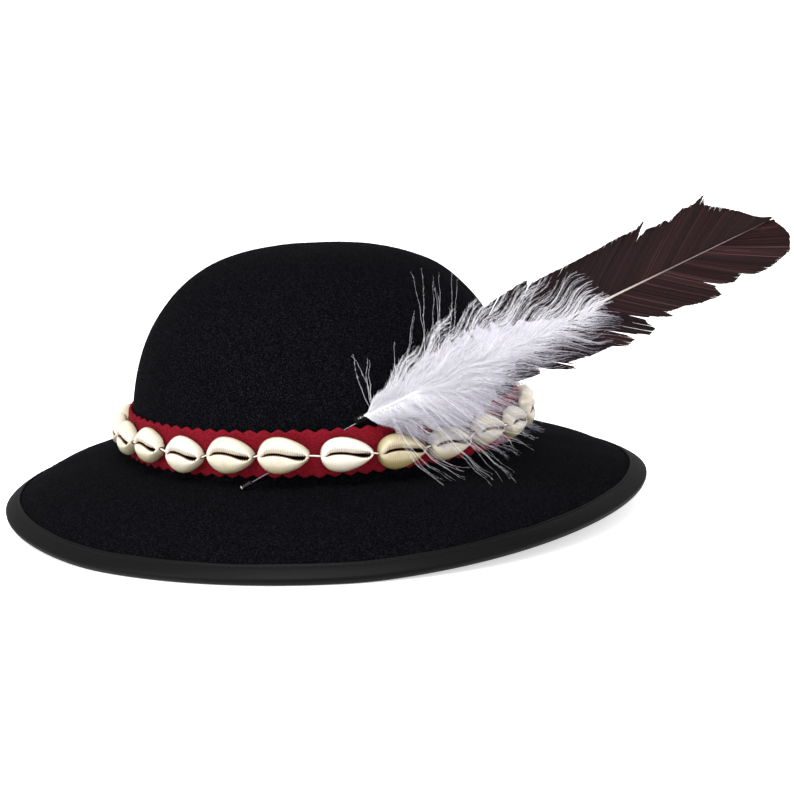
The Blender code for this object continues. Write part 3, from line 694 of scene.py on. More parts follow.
# Red wool felt: matt, with paler loose fibres on top and deep red between them.
red_felt, tree, shader = finish("red_wool_felt", {"Roughness": 0.95, "Specular IOR Level": 0.05})
fuzz = speckle(tree, 0.0007, 4.0)
tree.links.new(ramp(tree, fuzz, (0.3, BAND_RED_LOW), (0.7, BAND_RED_HIGH)), shader.inputs["Base Color"])
rough_up(tree, shader, fuzz, 0.0004, 0.7)
band_points, band_faces = loft(sections, ring=True)
band = add_piece("red_felt_band", band_points, band_faces, red_felt, "red_felt", ["red_band"])

draws = np.random.default_rng(11)
band_array = np.array(band_points).reshape(len(sections), len(BAND_SECTION), 3)
fuzz_count = 4500
picks = draws.integers(0, len(sections), fuzz_count)
lanes = draws.integers(1, 13, fuzz_count)
roots = band_array[picks, lanes] + draws.normal(scale=0.0002, size=(fuzz_count, 3))
outward = roots * np.array([1.0, 1.0, 0.0])
outward /= np.linalg.norm(outward, axis=1, keepdims=True)
tips = roots + (draws.normal(size=(fuzz_count, 3)) * 0.6 + outward) * draws.uniform(0.0003, 0.0008, (fuzz_count, 1))
red_fuzz, tree, shader = finish("red_wool_fuzz", {"Roughness": 0.9, "Specular IOR Level": 0.05})
tree.links.new(ramp(tree, speckle(tree, 0.002), (0.3, BAND_RED_LOW), (0.7, "#a81e2f")), shader.inputs["Base Color"])
add_piece("red_band_fuzz", *spikes(roots, tips, 0.00004), red_fuzz, "red_felt")


# Shells: money cowries about 23 mm long with their backs ground off flat, strung end to end
# on the band with the toothed slit outwards. No two have quite the same shape or tone.
APERTURE_DEPTH = 0.0030
THREAD_RADIUS = 0.00045
THREAD_CLEARANCE = 0.00035
SHELL_STEPS = 88
HALF_OUTLINE_STEPS = 17
# length, height, place along the string and height on the band, as shares of the named sizes,
# and tone from 0, white, to 1, olive cream
SHELLS = (
    (1.05, 1.00, 0.000, 0.00, 0.05),
    (0.99, 1.02, 0.020, -0.07, 1.00),
    (0.96, 0.98, 0.040, -0.07, 0.35),
    (0.86, 0.92, 0.020, 0.04, 0.50),
    (0.84, 0.95, -0.010, -0.02, 0.35),
    (0.86, 1.00, -0.060, 0.02, 0.45),
    (0.84, 1.00, -0.110, 0.02, 0.30),
    (0.80, 1.04, -0.140, 0.04, 0.35),
    (0.82, 1.06, -0.170, 0.06, 0.40),
    (0.89, 1.09, -0.180, -0.04, 0.20),
    (1.00, 1.07, -0.170, 0.03, 0.35),
    (1.03, 1.05, -0.120, 0.09, 0.40),
)


def shell_standoff(angle, string_height, half_span):
    """Depth of a shell's back in front of the band's back face, clear of band and pin."""
    stand = BAND_THICKNESS + GAP
    middle = band_surface(angle, string_height, stand)
    deepest = 0.0
    for share in (-0.8, -0.4, 0.0, 0.4, 0.8):
        lift = band_lift(angle + share * half_span / CROWN_HALF_LENGTH) - band_lift(angle)
        pin = pin_at(middle.x + share * half_span)
        behind = abs(pin.z - middle.z) < SHELL_HEIGHT / 2 and middle.y < 0.0
        pushed = middle.y - (pin.y - PIN_RADIUS - GAP) if behind and pin.x < 0.0 else 0.0
        deepest = max(deepest, lift, pushed)
    return stand + deepest


def shell_places():
    """For each shell: length, height, tone, its frame, and the middle of its back."""
    places = []
    for number in range(SHELL_COUNT):
        length_share, height_share, shift, rise, tone = SHELLS[number % len(SHELLS)]
        length = SHELL_LENGTH * length_share
        turn = angle_at(SHELL_ARCS, SHELL_START + SHELL_ARCS[0][-1] / SHELL_COUNT * (number + shift))
        along = (around(turn + 0.01, 0.0, 0.0) - around(turn - 0.01, 0.0, 0.0)).normalized()
        outward = Vector((along.y, -along.x, 0.0))
        string_height = SHELL_STRING_HEIGHT + rise * SHELL_HEIGHT
        back = band_surface(turn, string_height, shell_standoff(turn, string_height, length / 2))
        places.append((length, SHELL_HEIGHT * height_share, tone, along, outward, back))
    return places


def curve_through(knots, count):
    """Smooth curve through a few points, at even steps of their numbering."""
    knots = np.asarray(knots, float)
    ends = np.vstack([2 * knots[0] - knots[1], knots, 2 * knots[-1] - knots[-2]])
    at = np.linspace(0, len(knots) - 1, count)
    low = np.minimum(at.astype(int), len(knots) - 2)
    t = (at - low)[:, None]
    a, b, c, d = ends[low], ends[low + 1], ends[low + 2], ends[low + 3]
    return 0.5 * (2 * b + (c - a) * t + (2 * a - 5 * b + 4 * c - d) * t ** 2 + (3 * b - a - 3 * c + d) * t ** 3)


def shell_outline(share, length, height, own):
    """Section of a cowrie at a place along it: up and out, from the slit all the way round."""
    sway_rise, sway_turn, tooth_pitch_own, plump = own
    egg = math.sqrt(max(1.0 - share * share, 0.0)) ** 0.92 * (1.0 - 0.27 * share - 0.06 * share * share)
    half = height / 2 * max(egg / 1.025, 0.13)
    rounded = math.sqrt(max(1.0 - share * share, 0.0)) ** 0.7
    depth = SHELL_DEPTH * (0.60 + 0.40 * rounded)
    rear = 0.24 * SHELL_DEPTH * abs(share) ** 6
    open_share = smooth_step(-0.93, -0.60, share) * (1.0 - smooth_step(0.80, 0.95, share))
    lip = 0.0001 + open_share * (0.00036 + 0.00074 * smooth_step(0.1, 0.65, share))
    sway = height * open_share * (sway_rise + 0.055 * math.cos((share + sway_turn) * 2.9))
    floor = APERTURE_DEPTH * open_share + 0.0003
    tooth = 0.5 + 0.5 * math.cos(2 * math.pi * share * length / 2 / tooth_pitch_own)
    bite = open_share * tooth
    halves = []
    for sign, swell, reach_in, sunk in ((1, 1.0, 1.0, 1.0), (-1, plump, 0.6, 0.0)):
        wide = half * swell
        edge = lip * (1.0 - 0.55 * bite)
        groove = 0.00042 * open_share * (1.0 - tooth) * reach_in
        dip = depth * open_share * sunk
        knots = [
            (sway, depth - floor),
            (sway + sign * lip * 0.9, depth - floor * 0.72),
            (sway + sign * edge, depth * 0.96 - floor * 0.28 - 0.06 * dip),
            (sway + sign * (edge + 0.06 * wide), depth * 0.965 - groove - 0.09 * dip),
            (sway * 0.85 + sign * (edge + 0.20 * wide), depth - groove - 0.065 * dip),
            (sway * 0.55 + sign * 0.47 * wide, depth * 0.985 - groove * 0.7),
            (sign * 0.70 * wide, depth * 0.88 - groove * 0.2),
            (sign * 0.90 * wide, depth * 0.64),
            (sign * 1.00 * wide, depth * 0.40),
            (sign * 0.95 * wide, depth * 0.17),
            (sign * 0.80 * wide, rear + 0.02 * depth),
            (sign * 0.50 * wide, rear),
            (0.0, rear),
        ]
        halves.append(curve_through(knots, HALF_OUTLINE_STEPS))
    return np.vstack([halves[0], halves[1][-2:0:-1]]), open_share, 1.0 - tooth


def cowrie(number, place, draws):
    """One shell with its bore, and for each of its points its tone with painted shade on the lower half, and how much
    painted shade it has in the slit.
    """
    length, height, tone, along, outward, back = place
    own = (draws.uniform(0.015, 0.045), draws.uniform(0.18, 0.42), draws.uniform(0.00105, 0.00125),
           draws.uniform(1.0, 1.03))
    tooth_drop = draws.uniform(-0.05, 0.05)
    rings, warm, hollow = [], [], []
    for step in range(SHELL_STEPS):
        x = -1.0 + 2.0 * step / (SHELL_STEPS - 1)
        share = x * (1.5 - 0.5 * x * x)
        outline, open_share, between = shell_outline(share, length, height, own)
        middle = back + along * (share * length / 2)
        rings.append([middle + outward * out + Vector((0, 0, up)) for up, out in outline])
        for at, (up, out) in enumerate(outline):
            inside = min(at, len(outline) - at)
            side = 1.0 - min(out / SHELL_DEPTH, 1.0)
            # Points below the middle are darkened the more the lower they sit, as painted shade.
            below = 0.06 + 0.42 * min(-2 * up / height, 1.0) if up < 0 else 0.0
            # The slit's floor and sides, and the grooves between its teeth, are painted dark brown as shade.
            furrow_shade = between * (0.16 if up > 0 else 0.08) * max(1.0 - abs(inside - 6) / 4, 0.0)
            warm.append(min(max(tone * 0.6 + side * 0.40 + below + tooth_drop - 0.14, 0.0), 1.0))
            hollow.append(open_share * (1.0 if inside <= 2 else 0.55 if inside == 3 else furrow_shade))
    bore = THREAD_RADIUS + THREAD_CLEARANCE
    sides = len(rings[0])
    for share in (0.5, -0.5):
        middle = back + along * (share * length) + outward * SHELL_BORE_DEPTH
        rings.append([middle + outward * (bore * math.cos(2 * math.pi * side / sides))
                      + Vector((0, 0, bore * math.sin(2 * math.pi * side / sides))) for side in range(sides)])
        warm += [tone] * sides
        # The bore's inside is painted dark as shade.
        hollow += [0.6] * sides
    made = add_piece(f"shell_{number:02d}", *loft(rings, ring=True), shell, "cowrie_shell", [f"cowrie_{number:02d}"])
    paint(made, "warm", warm)
    paint(made, "hollow", hollow)


# Porcelain-like shell: glassy lips, ivory that turns to cream and olive down the sides, painted shade
# that darkens its lower half, and brown painted shade inside the slit and between its teeth.
shell, tree, shader = finish("polished_cowrie_shell", {"Roughness": 0.24, "Coat Roughness": 0.12})
tone_and_shade_by = add(tree, "ShaderNodeAttribute", attribute_name="warm").outputs["Fac"]
slit_shade_by = add(tree, "ShaderNodeAttribute", attribute_name="hollow").outputs["Fac"]
cloud = speckle(tree, 0.006, 3.0)
mixed = add(tree, "ShaderNodeMath", {0: cloud, 1: 0.35, 2: tone_and_shade_by}, operation="MULTIPLY_ADD").outputs[0]
body_tone = ramp(tree, mixed, (0.15, "#d3d0c7"), (0.42, "#c7c0ae"), (0.72, "#a99e81"), (1.0, "#8c8155"))
slit_shade_tone = ramp(tree, slit_shade_by, (0.0, "#ffffff"), (0.34, "#ab8768"), (0.75, "#3a1c12"), (1.0, "#150a07"))
MIX_A, MIX_B, MIX_RESULT = 6, 7, 2      # a colour mix node's sockets, whose names repeat
tinted = add(tree, "ShaderNodeMix", {0: 1.0, MIX_A: body_tone, MIX_B: slit_shade_tone},
             data_type="RGBA", blend_type="MULTIPLY")
tree.links.new(tinted.outputs[MIX_RESULT], shader.inputs["Base Color"])
# Painted shade in the slit also takes away most of its gloss and coat.
for socket, most in (("Specular IOR Level", 0.5), ("Coat Weight", 0.25)):
    kept = add(tree, "ShaderNodeMath", {0: slit_shade_by, 1: -most, 2: most}, operation="MULTIPLY_ADD")
    tree.links.new(kept.outputs[0], shader.inputs[socket])
rough_up(tree, shader, speckle(tree, 0.0016, 2.0), 0.00012, 0.35)
shell_draws = np.random.default_rng(23)
PLACES = shell_places()
for number, place in enumerate(PLACES, start=1):
    cowrie(number, place, shell_draws)


# Thread: white cotton of two plies, twisted, which runs through all the bores and is tied
# into a ring. It shows only in the gaps between two shells.
PLY_PITCH = 0.0021
PLY_RADIUS = 0.00026
THREAD_STEP = 0.0006

route = []
for length, _height, _tone, along, outward, back in PLACES:
    for share in (-0.5, 0.5):
        route.append(back + outward * SHELL_BORE_DEPTH + along * (share * length))
route.append(route[0])
lengths = [0.0]
for before, after in zip(route, route[1:]):
    lengths.append(lengths[-1] + (after - before).length)
steps = round(lengths[-1] / THREAD_STEP)
turns = round(lengths[-1] / PLY_PITCH)
walked = np.linspace(0.0, lengths[-1], steps, endpoint=False)
centre = np.column_stack([np.interp(walked, lengths, [point[axis] for point in route]) for axis in range(3)])
ahead = np.roll(centre, -1, axis=0) - np.roll(centre, 1, axis=0)
ahead /= np.linalg.norm(ahead, axis=1, keepdims=True)
sideways = np.cross(ahead, [0.0, 0.0, 1.0])
sideways /= np.linalg.norm(sideways, axis=1, keepdims=True)
twist = walked / lengths[-1] * turns * 2 * math.pi
thread_points, thread_faces = [], []
for ply in (0.0, math.pi):
    swing = twist + ply
    middle = centre + PLY_RADIUS * 0.8 * (np.cos(swing)[:, None] * sideways + np.sin(swing)[:, None] * [[0.0, 0.0, 1.0]])
    rings = []
    for at in range(steps):
        rings.append([middle[at] + PLY_RADIUS * (math.cos(spoke) * sideways[at] + np.array([0, 0, math.sin(spoke)]))
                      for spoke in (0.0, 1.257, 2.513, 3.770, 5.027)])
    points, faces = loft(rings, ring=True)
    thread_faces += [tuple(corner + len(thread_points) for corner in face) for face in faces]
    thread_points += points
white_cotton, tree, shader = finish("white_cotton_thread", {"Roughness": 0.8, "Sheen Weight": 0.2})
tree.links.new(ramp(tree, speckle(tree, 0.0008), (0.3, "#d9cfc4"), (0.7, "#f5f0e8")), shader.inputs["Base Color"])
add_piece("twisted_thread", thread_points, thread_faces, white_cotton, "white_thread", ["shell_thread"])


# Wing feather: a brown-black quill about 21 cm long. Every barb is a flat blade that leans on
# the next one, and the vane has split into locks where it was stroked the wrong way.
QUILL_LENGTH = 0.208
QUILL_RISE = math.radians(23.9)
QUILL_BOW = 0.006
QUILL_BARB_ANGLE = math.radians(40.0)
QUILL_BARBS = 430
BARB_WIDTH = 0.00058
BARB_THICKNESS = 0.00009
BARB_STEPS = 14
# root along the shaft as a share of its length, and barb lengths in mm above and below it
QUILL_VANE = (
    (0.115, 0.0, 0.0),
    (0.145, 15.0, 10.0),
    (0.200, 31.0, 22.0),
    (0.226, 34.5, 25.0),
    (0.290, 38.0, 29.0),
    (0.312, 38.7, 24.0),
    (0.318, 38.5, 30.0),
    (0.326, 36.0, 33.5),
    (0.341, 35.0, 36.8),
    (0.353, 35.4, 29.5),
    (0.394, 35.5, 33.0),
    (0.446, 35.8, 33.3),
    (0.459, 35.8, 37.8),
    (0.490, 36.3, 36.0),
    (0.500, 36.6, 29.0),
    (0.511, 37.0, 37.8),
    (0.540, 37.6, 35.5),
    (0.560, 37.3, 28.0),
    (0.576, 37.0, 25.0),
    (0.588, 37.2, 31.0),
    (0.597, 40.4, 33.0),
    (0.604, 33.0, 28.5),
    (0.611, 31.0, 28.3),
    (0.621, 34.1, 29.0),
    (0.643, 33.0, 29.6),
    (0.666, 33.6, 33.0),
    (0.680, 31.5, 33.5),
    (0.701, 36.5, 34.5),
    (0.712, 35.2, 34.0),
    (0.734, 35.9, 26.8),
    (0.741, 39.3, 27.0),
    (0.758, 32.8, 30.4),
    (0.786, 29.5, 28.5),
    (0.795, 28.5, 34.4),
    (0.820, 26.0, 36.4),
    (0.864, 20.7, 35.5),
    (0.913, 14.0, 26.5),
    (0.955, 8.5, 15.0),
    (0.985, 5.0, 7.0),
    (1.000, 3.0, 4.0),
)
# Splits in the vane: side, root along the shaft, gap at the edge in mm, how far inwards it opens
QUILL_SPLITS = (
    (1, 0.3300, 2.4, 0.35),
    (1, 0.6080, 0.8, 0.20),
    (1, 0.6850, 0.5, 0.20),
    (1, 0.7500, 0.8, 0.20),
    (-1, 0.3480, 1.6, 0.40),
    (-1, 0.5000, 1.8, 0.50),
    (-1, 0.5700, 2.2, 0.45),
    (-1, 0.7420, 2.4, 0.40),
)


def strands(paths, wide, thick, facing):
    """Solid blades along many paths at once, three-sided, with closed ends."""
    paths = np.asarray(paths, float)
    count, steps, _three = paths.shape
    tangent = np.gradient(paths, axis=1)
    tangent /= np.maximum(np.linalg.norm(tangent, axis=2, keepdims=True), 1e-12)
    across = np.cross(tangent, facing)
    across /= np.maximum(np.linalg.norm(across, axis=2, keepdims=True), 1e-12)
    over = np.cross(across, tangent)
    wide = np.broadcast_to(wide, (count, steps))[:, :, None]
    thick = np.broadcast_to(thick, (count, steps))[:, :, None]
    points = np.stack([paths - across * wide / 2 - over * thick / 2,
                       paths + across * wide / 2 - over * thick / 2,
                       paths + over * thick / 2], axis=2).reshape(-1, 3)
    pattern = []
    for step in range(steps - 1):
        for side in range(3):
            a, b = 3 * step + side, 3 * step + (side + 1) % 3
            pattern += [(a, b, b + 3), (a, b + 3, a + 3)]
    last = 3 * (steps - 1)
    pattern += [(0, 2, 1), (last, last + 1, last + 2)]
    faces = (np.arange(count)[:, None, None] * 3 * steps + np.array(pattern)).reshape(-1, 3)
    return points, faces


def shaft_frame(rise):
    """Along a feather's shaft, square to it in the plane of the vane, and towards -Y."""
    along = np.array([math.cos(rise), 0.0, math.sin(rise)])
    return along, np.array([-along[2], 0.0, along[0]]), np.array([0.0, -1.0, 0.0])


def quill_barbs(side, draws):
    """Paths of all barbs on one side of the shaft, and their widths and tones."""
    along, upward, front = shaft_frame(QUILL_RISE)
    base = np.array(wrap_centre + Vector((0.0, shaft_spread, PIN_RADIUS)))
    table = np.array(QUILL_VANE)
    roots = np.linspace(table[0, 0], 1.0, QUILL_BARBS)
    reach = np.interp(roots, table[:, 0], table[:, 1 if side > 0 else 2]) / 1000
    reach = reach * draws.uniform(0.992, 1.004, QUILL_BARBS)
    late = np.clip((roots - 0.72) / 0.28, 0.0, 1.0)
    angle = QUILL_BARB_ANGLE * (1.0 - 0.55 * late * late * (3 - 2 * late))
    angle = angle + draws.normal(scale=0.004, size=QUILL_BARBS)
    t = np.linspace(0.0, 1.0, BARB_STEPS)[None, :]
    shift = np.zeros((QUILL_BARBS, BARB_STEPS))
    for split_side, place, gap, depth in QUILL_SPLITS:
        if split_side != side:
            continue
        off = (roots - place) * QUILL_LENGTH * 1000
        push = np.sign(off) * np.exp(-np.abs(off) / (1.5 + gap)) * gap / 2000
        open_by = np.clip((t - (1.0 - depth)) / depth, 0.0, 1.0) ** 1.4
        shift += push[:, None] * open_by
    run = reach[:, None] * t
    out = run * np.sin(angle)[:, None]
    ahead = run * np.cos(angle)[:, None] + shift + 0.05 * run * t
    camber = 0.0016 * t * t * side + 0.00035 * np.sin(roots * 61.0 + side)[:, None] * t
    ripple = draws.normal(scale=0.00005, size=(QUILL_BARBS, 1)) * t
    middle = (base + along * (roots * QUILL_LENGTH)[:, None] - front * (QUILL_BOW * roots ** 2)[:, None])
    paths = (middle[:, None, :] + along * ahead[:, :, None] + upward * (side * out)[:, :, None]
             + front * (camber + ripple)[:, :, None])
    taper = np.clip((1.05 - t) * 8.0, 0.75, 1.0)
    wide = BARB_WIDTH * taper * (1.0 + 0.5 * (roots > 0.85))[:, None]
    # Lighter streaks on the lower vane are painted highlights of its gloss.
    gloss_streaks = 0.30 * np.sin(roots * 83.0) * np.sin(roots * 31.0) * (side < 0)
    tone_and_gloss = np.repeat(np.clip(0.5 + gloss_streaks + draws.normal(scale=0.2, size=QUILL_BARBS), 0, 1), BARB_STEPS * 3)
    places = np.repeat(roots, BARB_STEPS * 3)
    return paths, wide, tone_and_gloss, places


# Keratin barbs, dyed brown-black: the upper vane is matt, the lower one silky, with painted highlight
# streaks where its barbs lie flat to the light. Barbs are 0.05 mm, drawn at 0.4 mm so that single ones show.
dark_vane, tree, shader = finish("brown_black_barbs", {"Roughness": 0.38, "Specular IOR Level": 0.08})
tone_and_gloss_by = add(tree, "ShaderNodeAttribute", attribute_name="tone").outputs["Fac"]
place_by = add(tree, "ShaderNodeAttribute", attribute_name="place").outputs["Fac"]
near_root = ramp(tree, tone_and_gloss_by, (0.1, "#0c0709"), (0.9, "#1d1217"))
# The last, palest stop of the tip colours is reached mostly by the painted highlight streaks.
near_tip = ramp(tree, tone_and_gloss_by, (0.1, "#130809"), (0.8, "#2a1516"), (1.0, "#4a3233"))
vane_tone = add(tree, "ShaderNodeMix", {0: place_by, MIX_A: near_root, MIX_B: near_tip}, data_type="RGBA")
tree.links.new(vane_tone.outputs[MIX_RESULT], shader.inputs["Base Color"])
quill_draws = np.random.default_rng(31)
_along, _upward, quill_front = shaft_frame(QUILL_RISE)
for side, name, stands_for in ((1, "quill_upper_vane", ["quill_feather"]), (-1, "quill_lower_vane", [])):
    paths, wide, tone_and_gloss, places = quill_barbs(side, quill_draws)
    tilted = quill_front + side * 0.22 * _upward
    vane = add_piece(name, *strands(paths, wide, BARB_THICKNESS, tilted), dark_vane, "dark_vane", stands_for)
    paint(vane, "tone", tone_and_gloss)
    paint(vane, "place", places)


def shaft(name, base, rise, length, bow, radii, material, slot, reach_back):
    """Tapered shaft of a feather: radii holds share of the length and radius."""
    along, upward, front = shaft_frame(rise)
    rings = []
    shares = np.linspace(-reach_back, 1.0, 60)
    for share in shares:
        radius = float(np.interp(share, [row[0] for row in radii], [row[1] for row in radii]))
        middle = base + along * (share * length) - front * (bow * max(share, 0.0) ** 2)
        rings.append([middle + radius * (math.cos(turn) * upward + math.sin(turn) * front)
                      for turn in np.linspace(0, 2 * math.pi, 12, endpoint=False)])
    made = add_piece(name, *loft(rings, ring=False), material, slot)
    paint(made, "share", np.repeat(shares, 12))
    return made


# The shaft is horn: ivory white and glossy near its root, thinner and grey-brown further out.
horn, tree, shader = finish("ivory_horn_shaft", {"Roughness": 0.35, "Specular IOR Level": 0.5})
share_by = add(tree, "ShaderNodeAttribute", attribute_name="share").outputs["Fac"]
tree.links.new(ramp(tree, share_by, (0.0, "#e6e3df"), (0.5, "#dcd7d1"), (0.64, "#a3968f"), (0.76, "#54474a"),
                    (1.0, "#5d5052")), shader.inputs["Base Color"])
quill_base = np.array(wrap_centre + Vector((0.0, shaft_spread, PIN_RADIUS)))
shaft("quill_shaft", quill_base, QUILL_RISE, QUILL_LENGTH, QUILL_BOW,
      ((0.0, 0.0007), (0.3, 0.0007), (0.6, 0.00055), (0.75, 0.00038), (1.0, 0.00014)), horn, "dark_vane", 0.008)


# Down feather: a white marabou plume about 12 cm long in front of the wing feather. Its barbs
# are soft threads with finer hairs along them, so it has a dense middle and a wispy edge.
DOWN_LENGTH = 0.118
DOWN_RISE = math.radians(23.4)
DOWN_BOW = -0.005
DOWN_BARBS = 300
DOWN_STEPS = 12
DOWN_BARB_WIDTH = 0.00014
HAIRS_PER_BARB = 100
HAIR_WIDTH = 0.00004
HAIR_LENGTH = 0.0042
# root along the shaft as a share, then where its longest barbs end, in mm along and off the shaft
DOWN_UPPER = (
    (0.020, 8.0, 4.0),
    (0.060, 22.0, 12.0),
    (0.120, 40.0, 20.0),
    (0.200, 58.0, 26.0),
    (0.300, 76.0, 29.0),
    (0.400, 94.0, 29.0),
    (0.500, 106.0, 26.0),
    (0.620, 115.0, 21.0),
    (0.750, 120.0, 16.0),
    (0.880, 124.0, 11.0),
    (1.000, 129.0, 4.0),
)
DOWN_LOWER = (
    (0.015, 12.0, 12.0),
    (0.060, 21.0, 21.0),
    (0.120, 34.0, 31.0),
    (0.200, 49.0, 39.0),
    (0.280, 62.0, 43.0),
    (0.360, 72.0, 38.0),
    (0.430, 79.0, 29.0),
    (0.500, 85.0, 20.0),
    (0.580, 95.0, 15.0),
    (0.700, 109.0, 17.0),
    (0.850, 123.0, 18.0),
    (1.000, 129.0, 6.0),
)
# Barbs in front that hide the shaft from a third of its length on
DOWN_FRONT = (
    (0.230, 52.0, 12.0),
    (0.400, 74.0, 14.0),
    (0.600, 96.0, 12.0),
    (0.800, 112.0, 8.0),
    (1.000, 128.0, 4.0),
)
# The dense middle of the plume: along the shaft, then how far it reaches above and below, in mm
DOWN_CORE = (
    (5.0, 1.0, 2.0),
    (12.0, 4.0, 9.0),
    (25.0, 9.0, 19.0),
    (38.0, 14.0, 27.0),
    (50.0, 18.0, 29.0),
    (60.0, 18.5, 24.0),
    (70.0, 18.0, 14.0),
    (80.0, 15.0, 8.0),
    (95.0, 9.0, 5.0),
    (108.0, 3.0, 2.0),
)
# Long single wisps: root along the shaft as a share, then two more points, in mm along and
# off the shaft, and how far the end stands in front of it
DOWN_WISPS = (
    (0.26, 45.0, 22.0, 53.0, 55.0, 2.0),
    (0.32, 52.0, 24.0, 60.0, 44.0, 3.0),
    (0.34, 50.0, 24.0, 58.5, 48.5, 3.0),
    (0.36, 58.0, 24.0, 64.0, 38.0, 1.0),
    (0.42, 66.0, 24.0, 77.0, 33.0, 3.0),
    (0.50, 80.0, 25.0, 92.0, 32.0, 1.0),
    (0.58, 92.0, 24.0, 104.0, 29.0, 1.0),
    (0.66, 98.0, 20.0, 110.0, 26.0, 1.0),
    (0.74, 106.0, 18.0, 117.0, 21.0, 1.0),
    (0.16, 24.0, 18.0, 34.0, 27.0, 5.0),
    (0.05, 8.0, 14.0, 8.9, 31.2, 6.0),
    (0.05, 10.0, 14.0, 14.0, 23.0, 7.0),
    (0.20, 31.0, 20.0, 44.0, 31.0, 5.0),
    (0.22, 33.0, -31.0, 42.0, -54.0, 2.0),
    (0.26, 40.0, -30.0, 52.0, -55.0, 1.0),
    (0.24, 36.0, -28.0, 47.0, -44.0, 2.0),
    (0.14, 17.0, -32.0, 32.0, -45.0, 3.0),
    (0.12, 11.0, -30.0, 25.0, -45.0, 5.0),
    (0.30, 52.0, -30.0, 63.0, -43.0, 3.0),
    (0.34, 58.0, -29.0, 66.0, -37.0, 2.0),
    (0.44, 84.0, -22.0, 113.0, -31.1, -2.0),
    (0.50, 90.0, -18.0, 112.0, -24.0, -2.0),
    (0.46, 80.0, -24.0, 104.0, -36.0, -3.0),
    (0.78, 108.0, -10.0, 121.0, -15.0, -1.0),
    (0.70, 102.0, -11.0, 114.0, -14.0, -1.0),
)
WISP_STEPS = 22
# Waves that make neighbouring barbs flow together: length in m, size in m, and two directions
DOWN_WAVES = (
    (0.021, 0.0016, (0.8, 0.2, 0.6), (-0.4, 0.5, 0.9)),
    (0.012, 0.0008, (0.3, 0.5, -0.9), (0.5, 0.6, 0.5)),
    (0.007, 0.0004, (-0.7, 0.3, 0.7), (0.7, 0.4, -0.5)),
)
down_base = np.array(wrap_centre + Vector((0.0, -shaft_spread, PIN_RADIUS)))
down_along, down_upward, down_front = shaft_frame(DOWN_RISE)


def down_point(share, along, off, forward):
    """Points of the plume from millimetres along, off and in front of its shaft."""
    share, along, off, forward = (np.asarray(value, float)[..., None] for value in (share, along, off, forward))
    return (down_base + down_along * (along / 1000) + down_upward * (off / 1000)
            + down_front * (forward / 1000 - DOWN_BOW * share ** 2))


def bent(start, middle, end, count):
    """Quadratic curves: they leave start towards middle and arrive at end."""
    t = np.linspace(0.0, 1.0, count)[None, :, None]
    return (1 - t) ** 2 * start[:, None] + 2 * t * (1 - t) * middle[:, None] + t * t * end[:, None]


def wavy(paths, strength):
    """Push paths about by soft waves in space, more towards their free ends."""
    free = np.linspace(0.0, 1.0, paths.shape[1])[None, :, None] ** 1.2
    moved = paths.copy()
    for length, size, way, push in DOWN_WAVES:
        phase = (paths @ np.array(way)) * (2 * math.pi / length)
        moved += np.sin(phase)[:, :, None] * np.array(push) * (size * strength) * free
    return moved


def hairs(paths, per_path, length, draws, bare):
    """Fine hairs along barbs, leaning to their tips. Bare barbs (1) carry short ones at their foot."""
    count, steps, _three = paths.shape
    which = np.repeat(np.arange(count), per_path)
    naked = np.repeat(bare, per_path)
    at = (0.03 + 0.97 * draws.random(count * per_path) ** (1.0 + 0.9 * naked)) * (steps - 1)
    low = np.minimum(at.astype(int), steps - 2)
    roots = paths[which, low] + (paths[which, low + 1] - paths[which, low]) * (at - low)[:, None]
    ahead = paths[which, low + 1] - paths[which, low]
    ahead /= np.maximum(np.linalg.norm(ahead, axis=1, keepdims=True), 1e-12)
    spread = draws.normal(size=(len(which), 3)) * np.array([1.0, 0.6, 1.0])
    spread -= (spread * ahead).sum(axis=1, keepdims=True) * ahead
    spread /= np.maximum(np.linalg.norm(spread, axis=1, keepdims=True), 1e-12)
    share = at / (steps - 1)
    size = length * draws.uniform(0.35, 1.4, len(which)) * (1.0 - 0.45 * share) * (1.0 - 0.72 * naked)
    size *= np.clip(np.linalg.norm(roots - down_base, axis=1) / 0.016, 0.15, 1.0)
    tips = roots + (ahead + spread * draws.uniform(0.1, 0.75, (len(which), 1))) * size[:, None]
    return roots, tips, share


def down_barbs(table, sign, count, forward_mean, draws):
    """Barbs on one side of the plume as curved paths."""
    table = np.array(table)
    roots = table[0, 0] + (1.0 - table[0, 0]) * np.sort(draws.random(count) ** 1.35)
    ends = np.column_stack([np.interp(roots, table[:, 0], table[:, column]) for column in (1, 2)])
    starts = np.column_stack([roots * DOWN_LENGTH * 1000, np.zeros(count)])
    reach = 1.05 - (0.50 if sign > 0 else 0.38) * draws.random(count) ** 2
    side = 1.05 - (0.75 if sign > 0 else 0.60) * draws.random(count) ** 1.8 if sign else draws.random(count)
    span = (ends - starts) * np.column_stack([reach, reach * side])
    ends = starts + span
    middles = starts + span * np.array([0.5, 0.62])
    signs = np.full(count, float(sign)) if sign else draws.choice([-1.0, 1.0], count)
    forward = draws.normal(scale=2.4, size=count) + forward_mean
    start = down_point(roots, starts[:, 0], signs * starts[:, 1], 0.1 + 0.3 * forward_mean / 3)
    middle = down_point(roots, middles[:, 0], signs * middles[:, 1], draws.uniform(0.4, 1.6, count) + forward_mean * 0.6)
    end = down_point(roots, ends[:, 0], signs * ends[:, 1], np.maximum(forward, -1.0))
    return wavy(bent(start, middle, end, DOWN_STEPS), 1.0), np.clip((roots - (0.40 if sign < 0 else 0.30)) / 0.36, 0.0, 1.0)


# Down: white keratin threads. Light passes through them, which the faint glow stands for.
down, tree, shader = finish("white_marabou_down", {"Roughness": 0.7, "Specular IOR Level": 0.2,
                                                   "Emission Strength": 0.08})
shader.inputs["Emission Color"].default_value = linear("#eeecf5")
shade_by = add(tree, "ShaderNodeAttribute", attribute_name="shade").outputs["Fac"]
tree.links.new(ramp(tree, shade_by, (0.0, "#efeef1"), (0.4, "#dcdae2"), (1.0, "#85828f")),
               shader.inputs["Base Color"])
down_draws = np.random.default_rng(47)


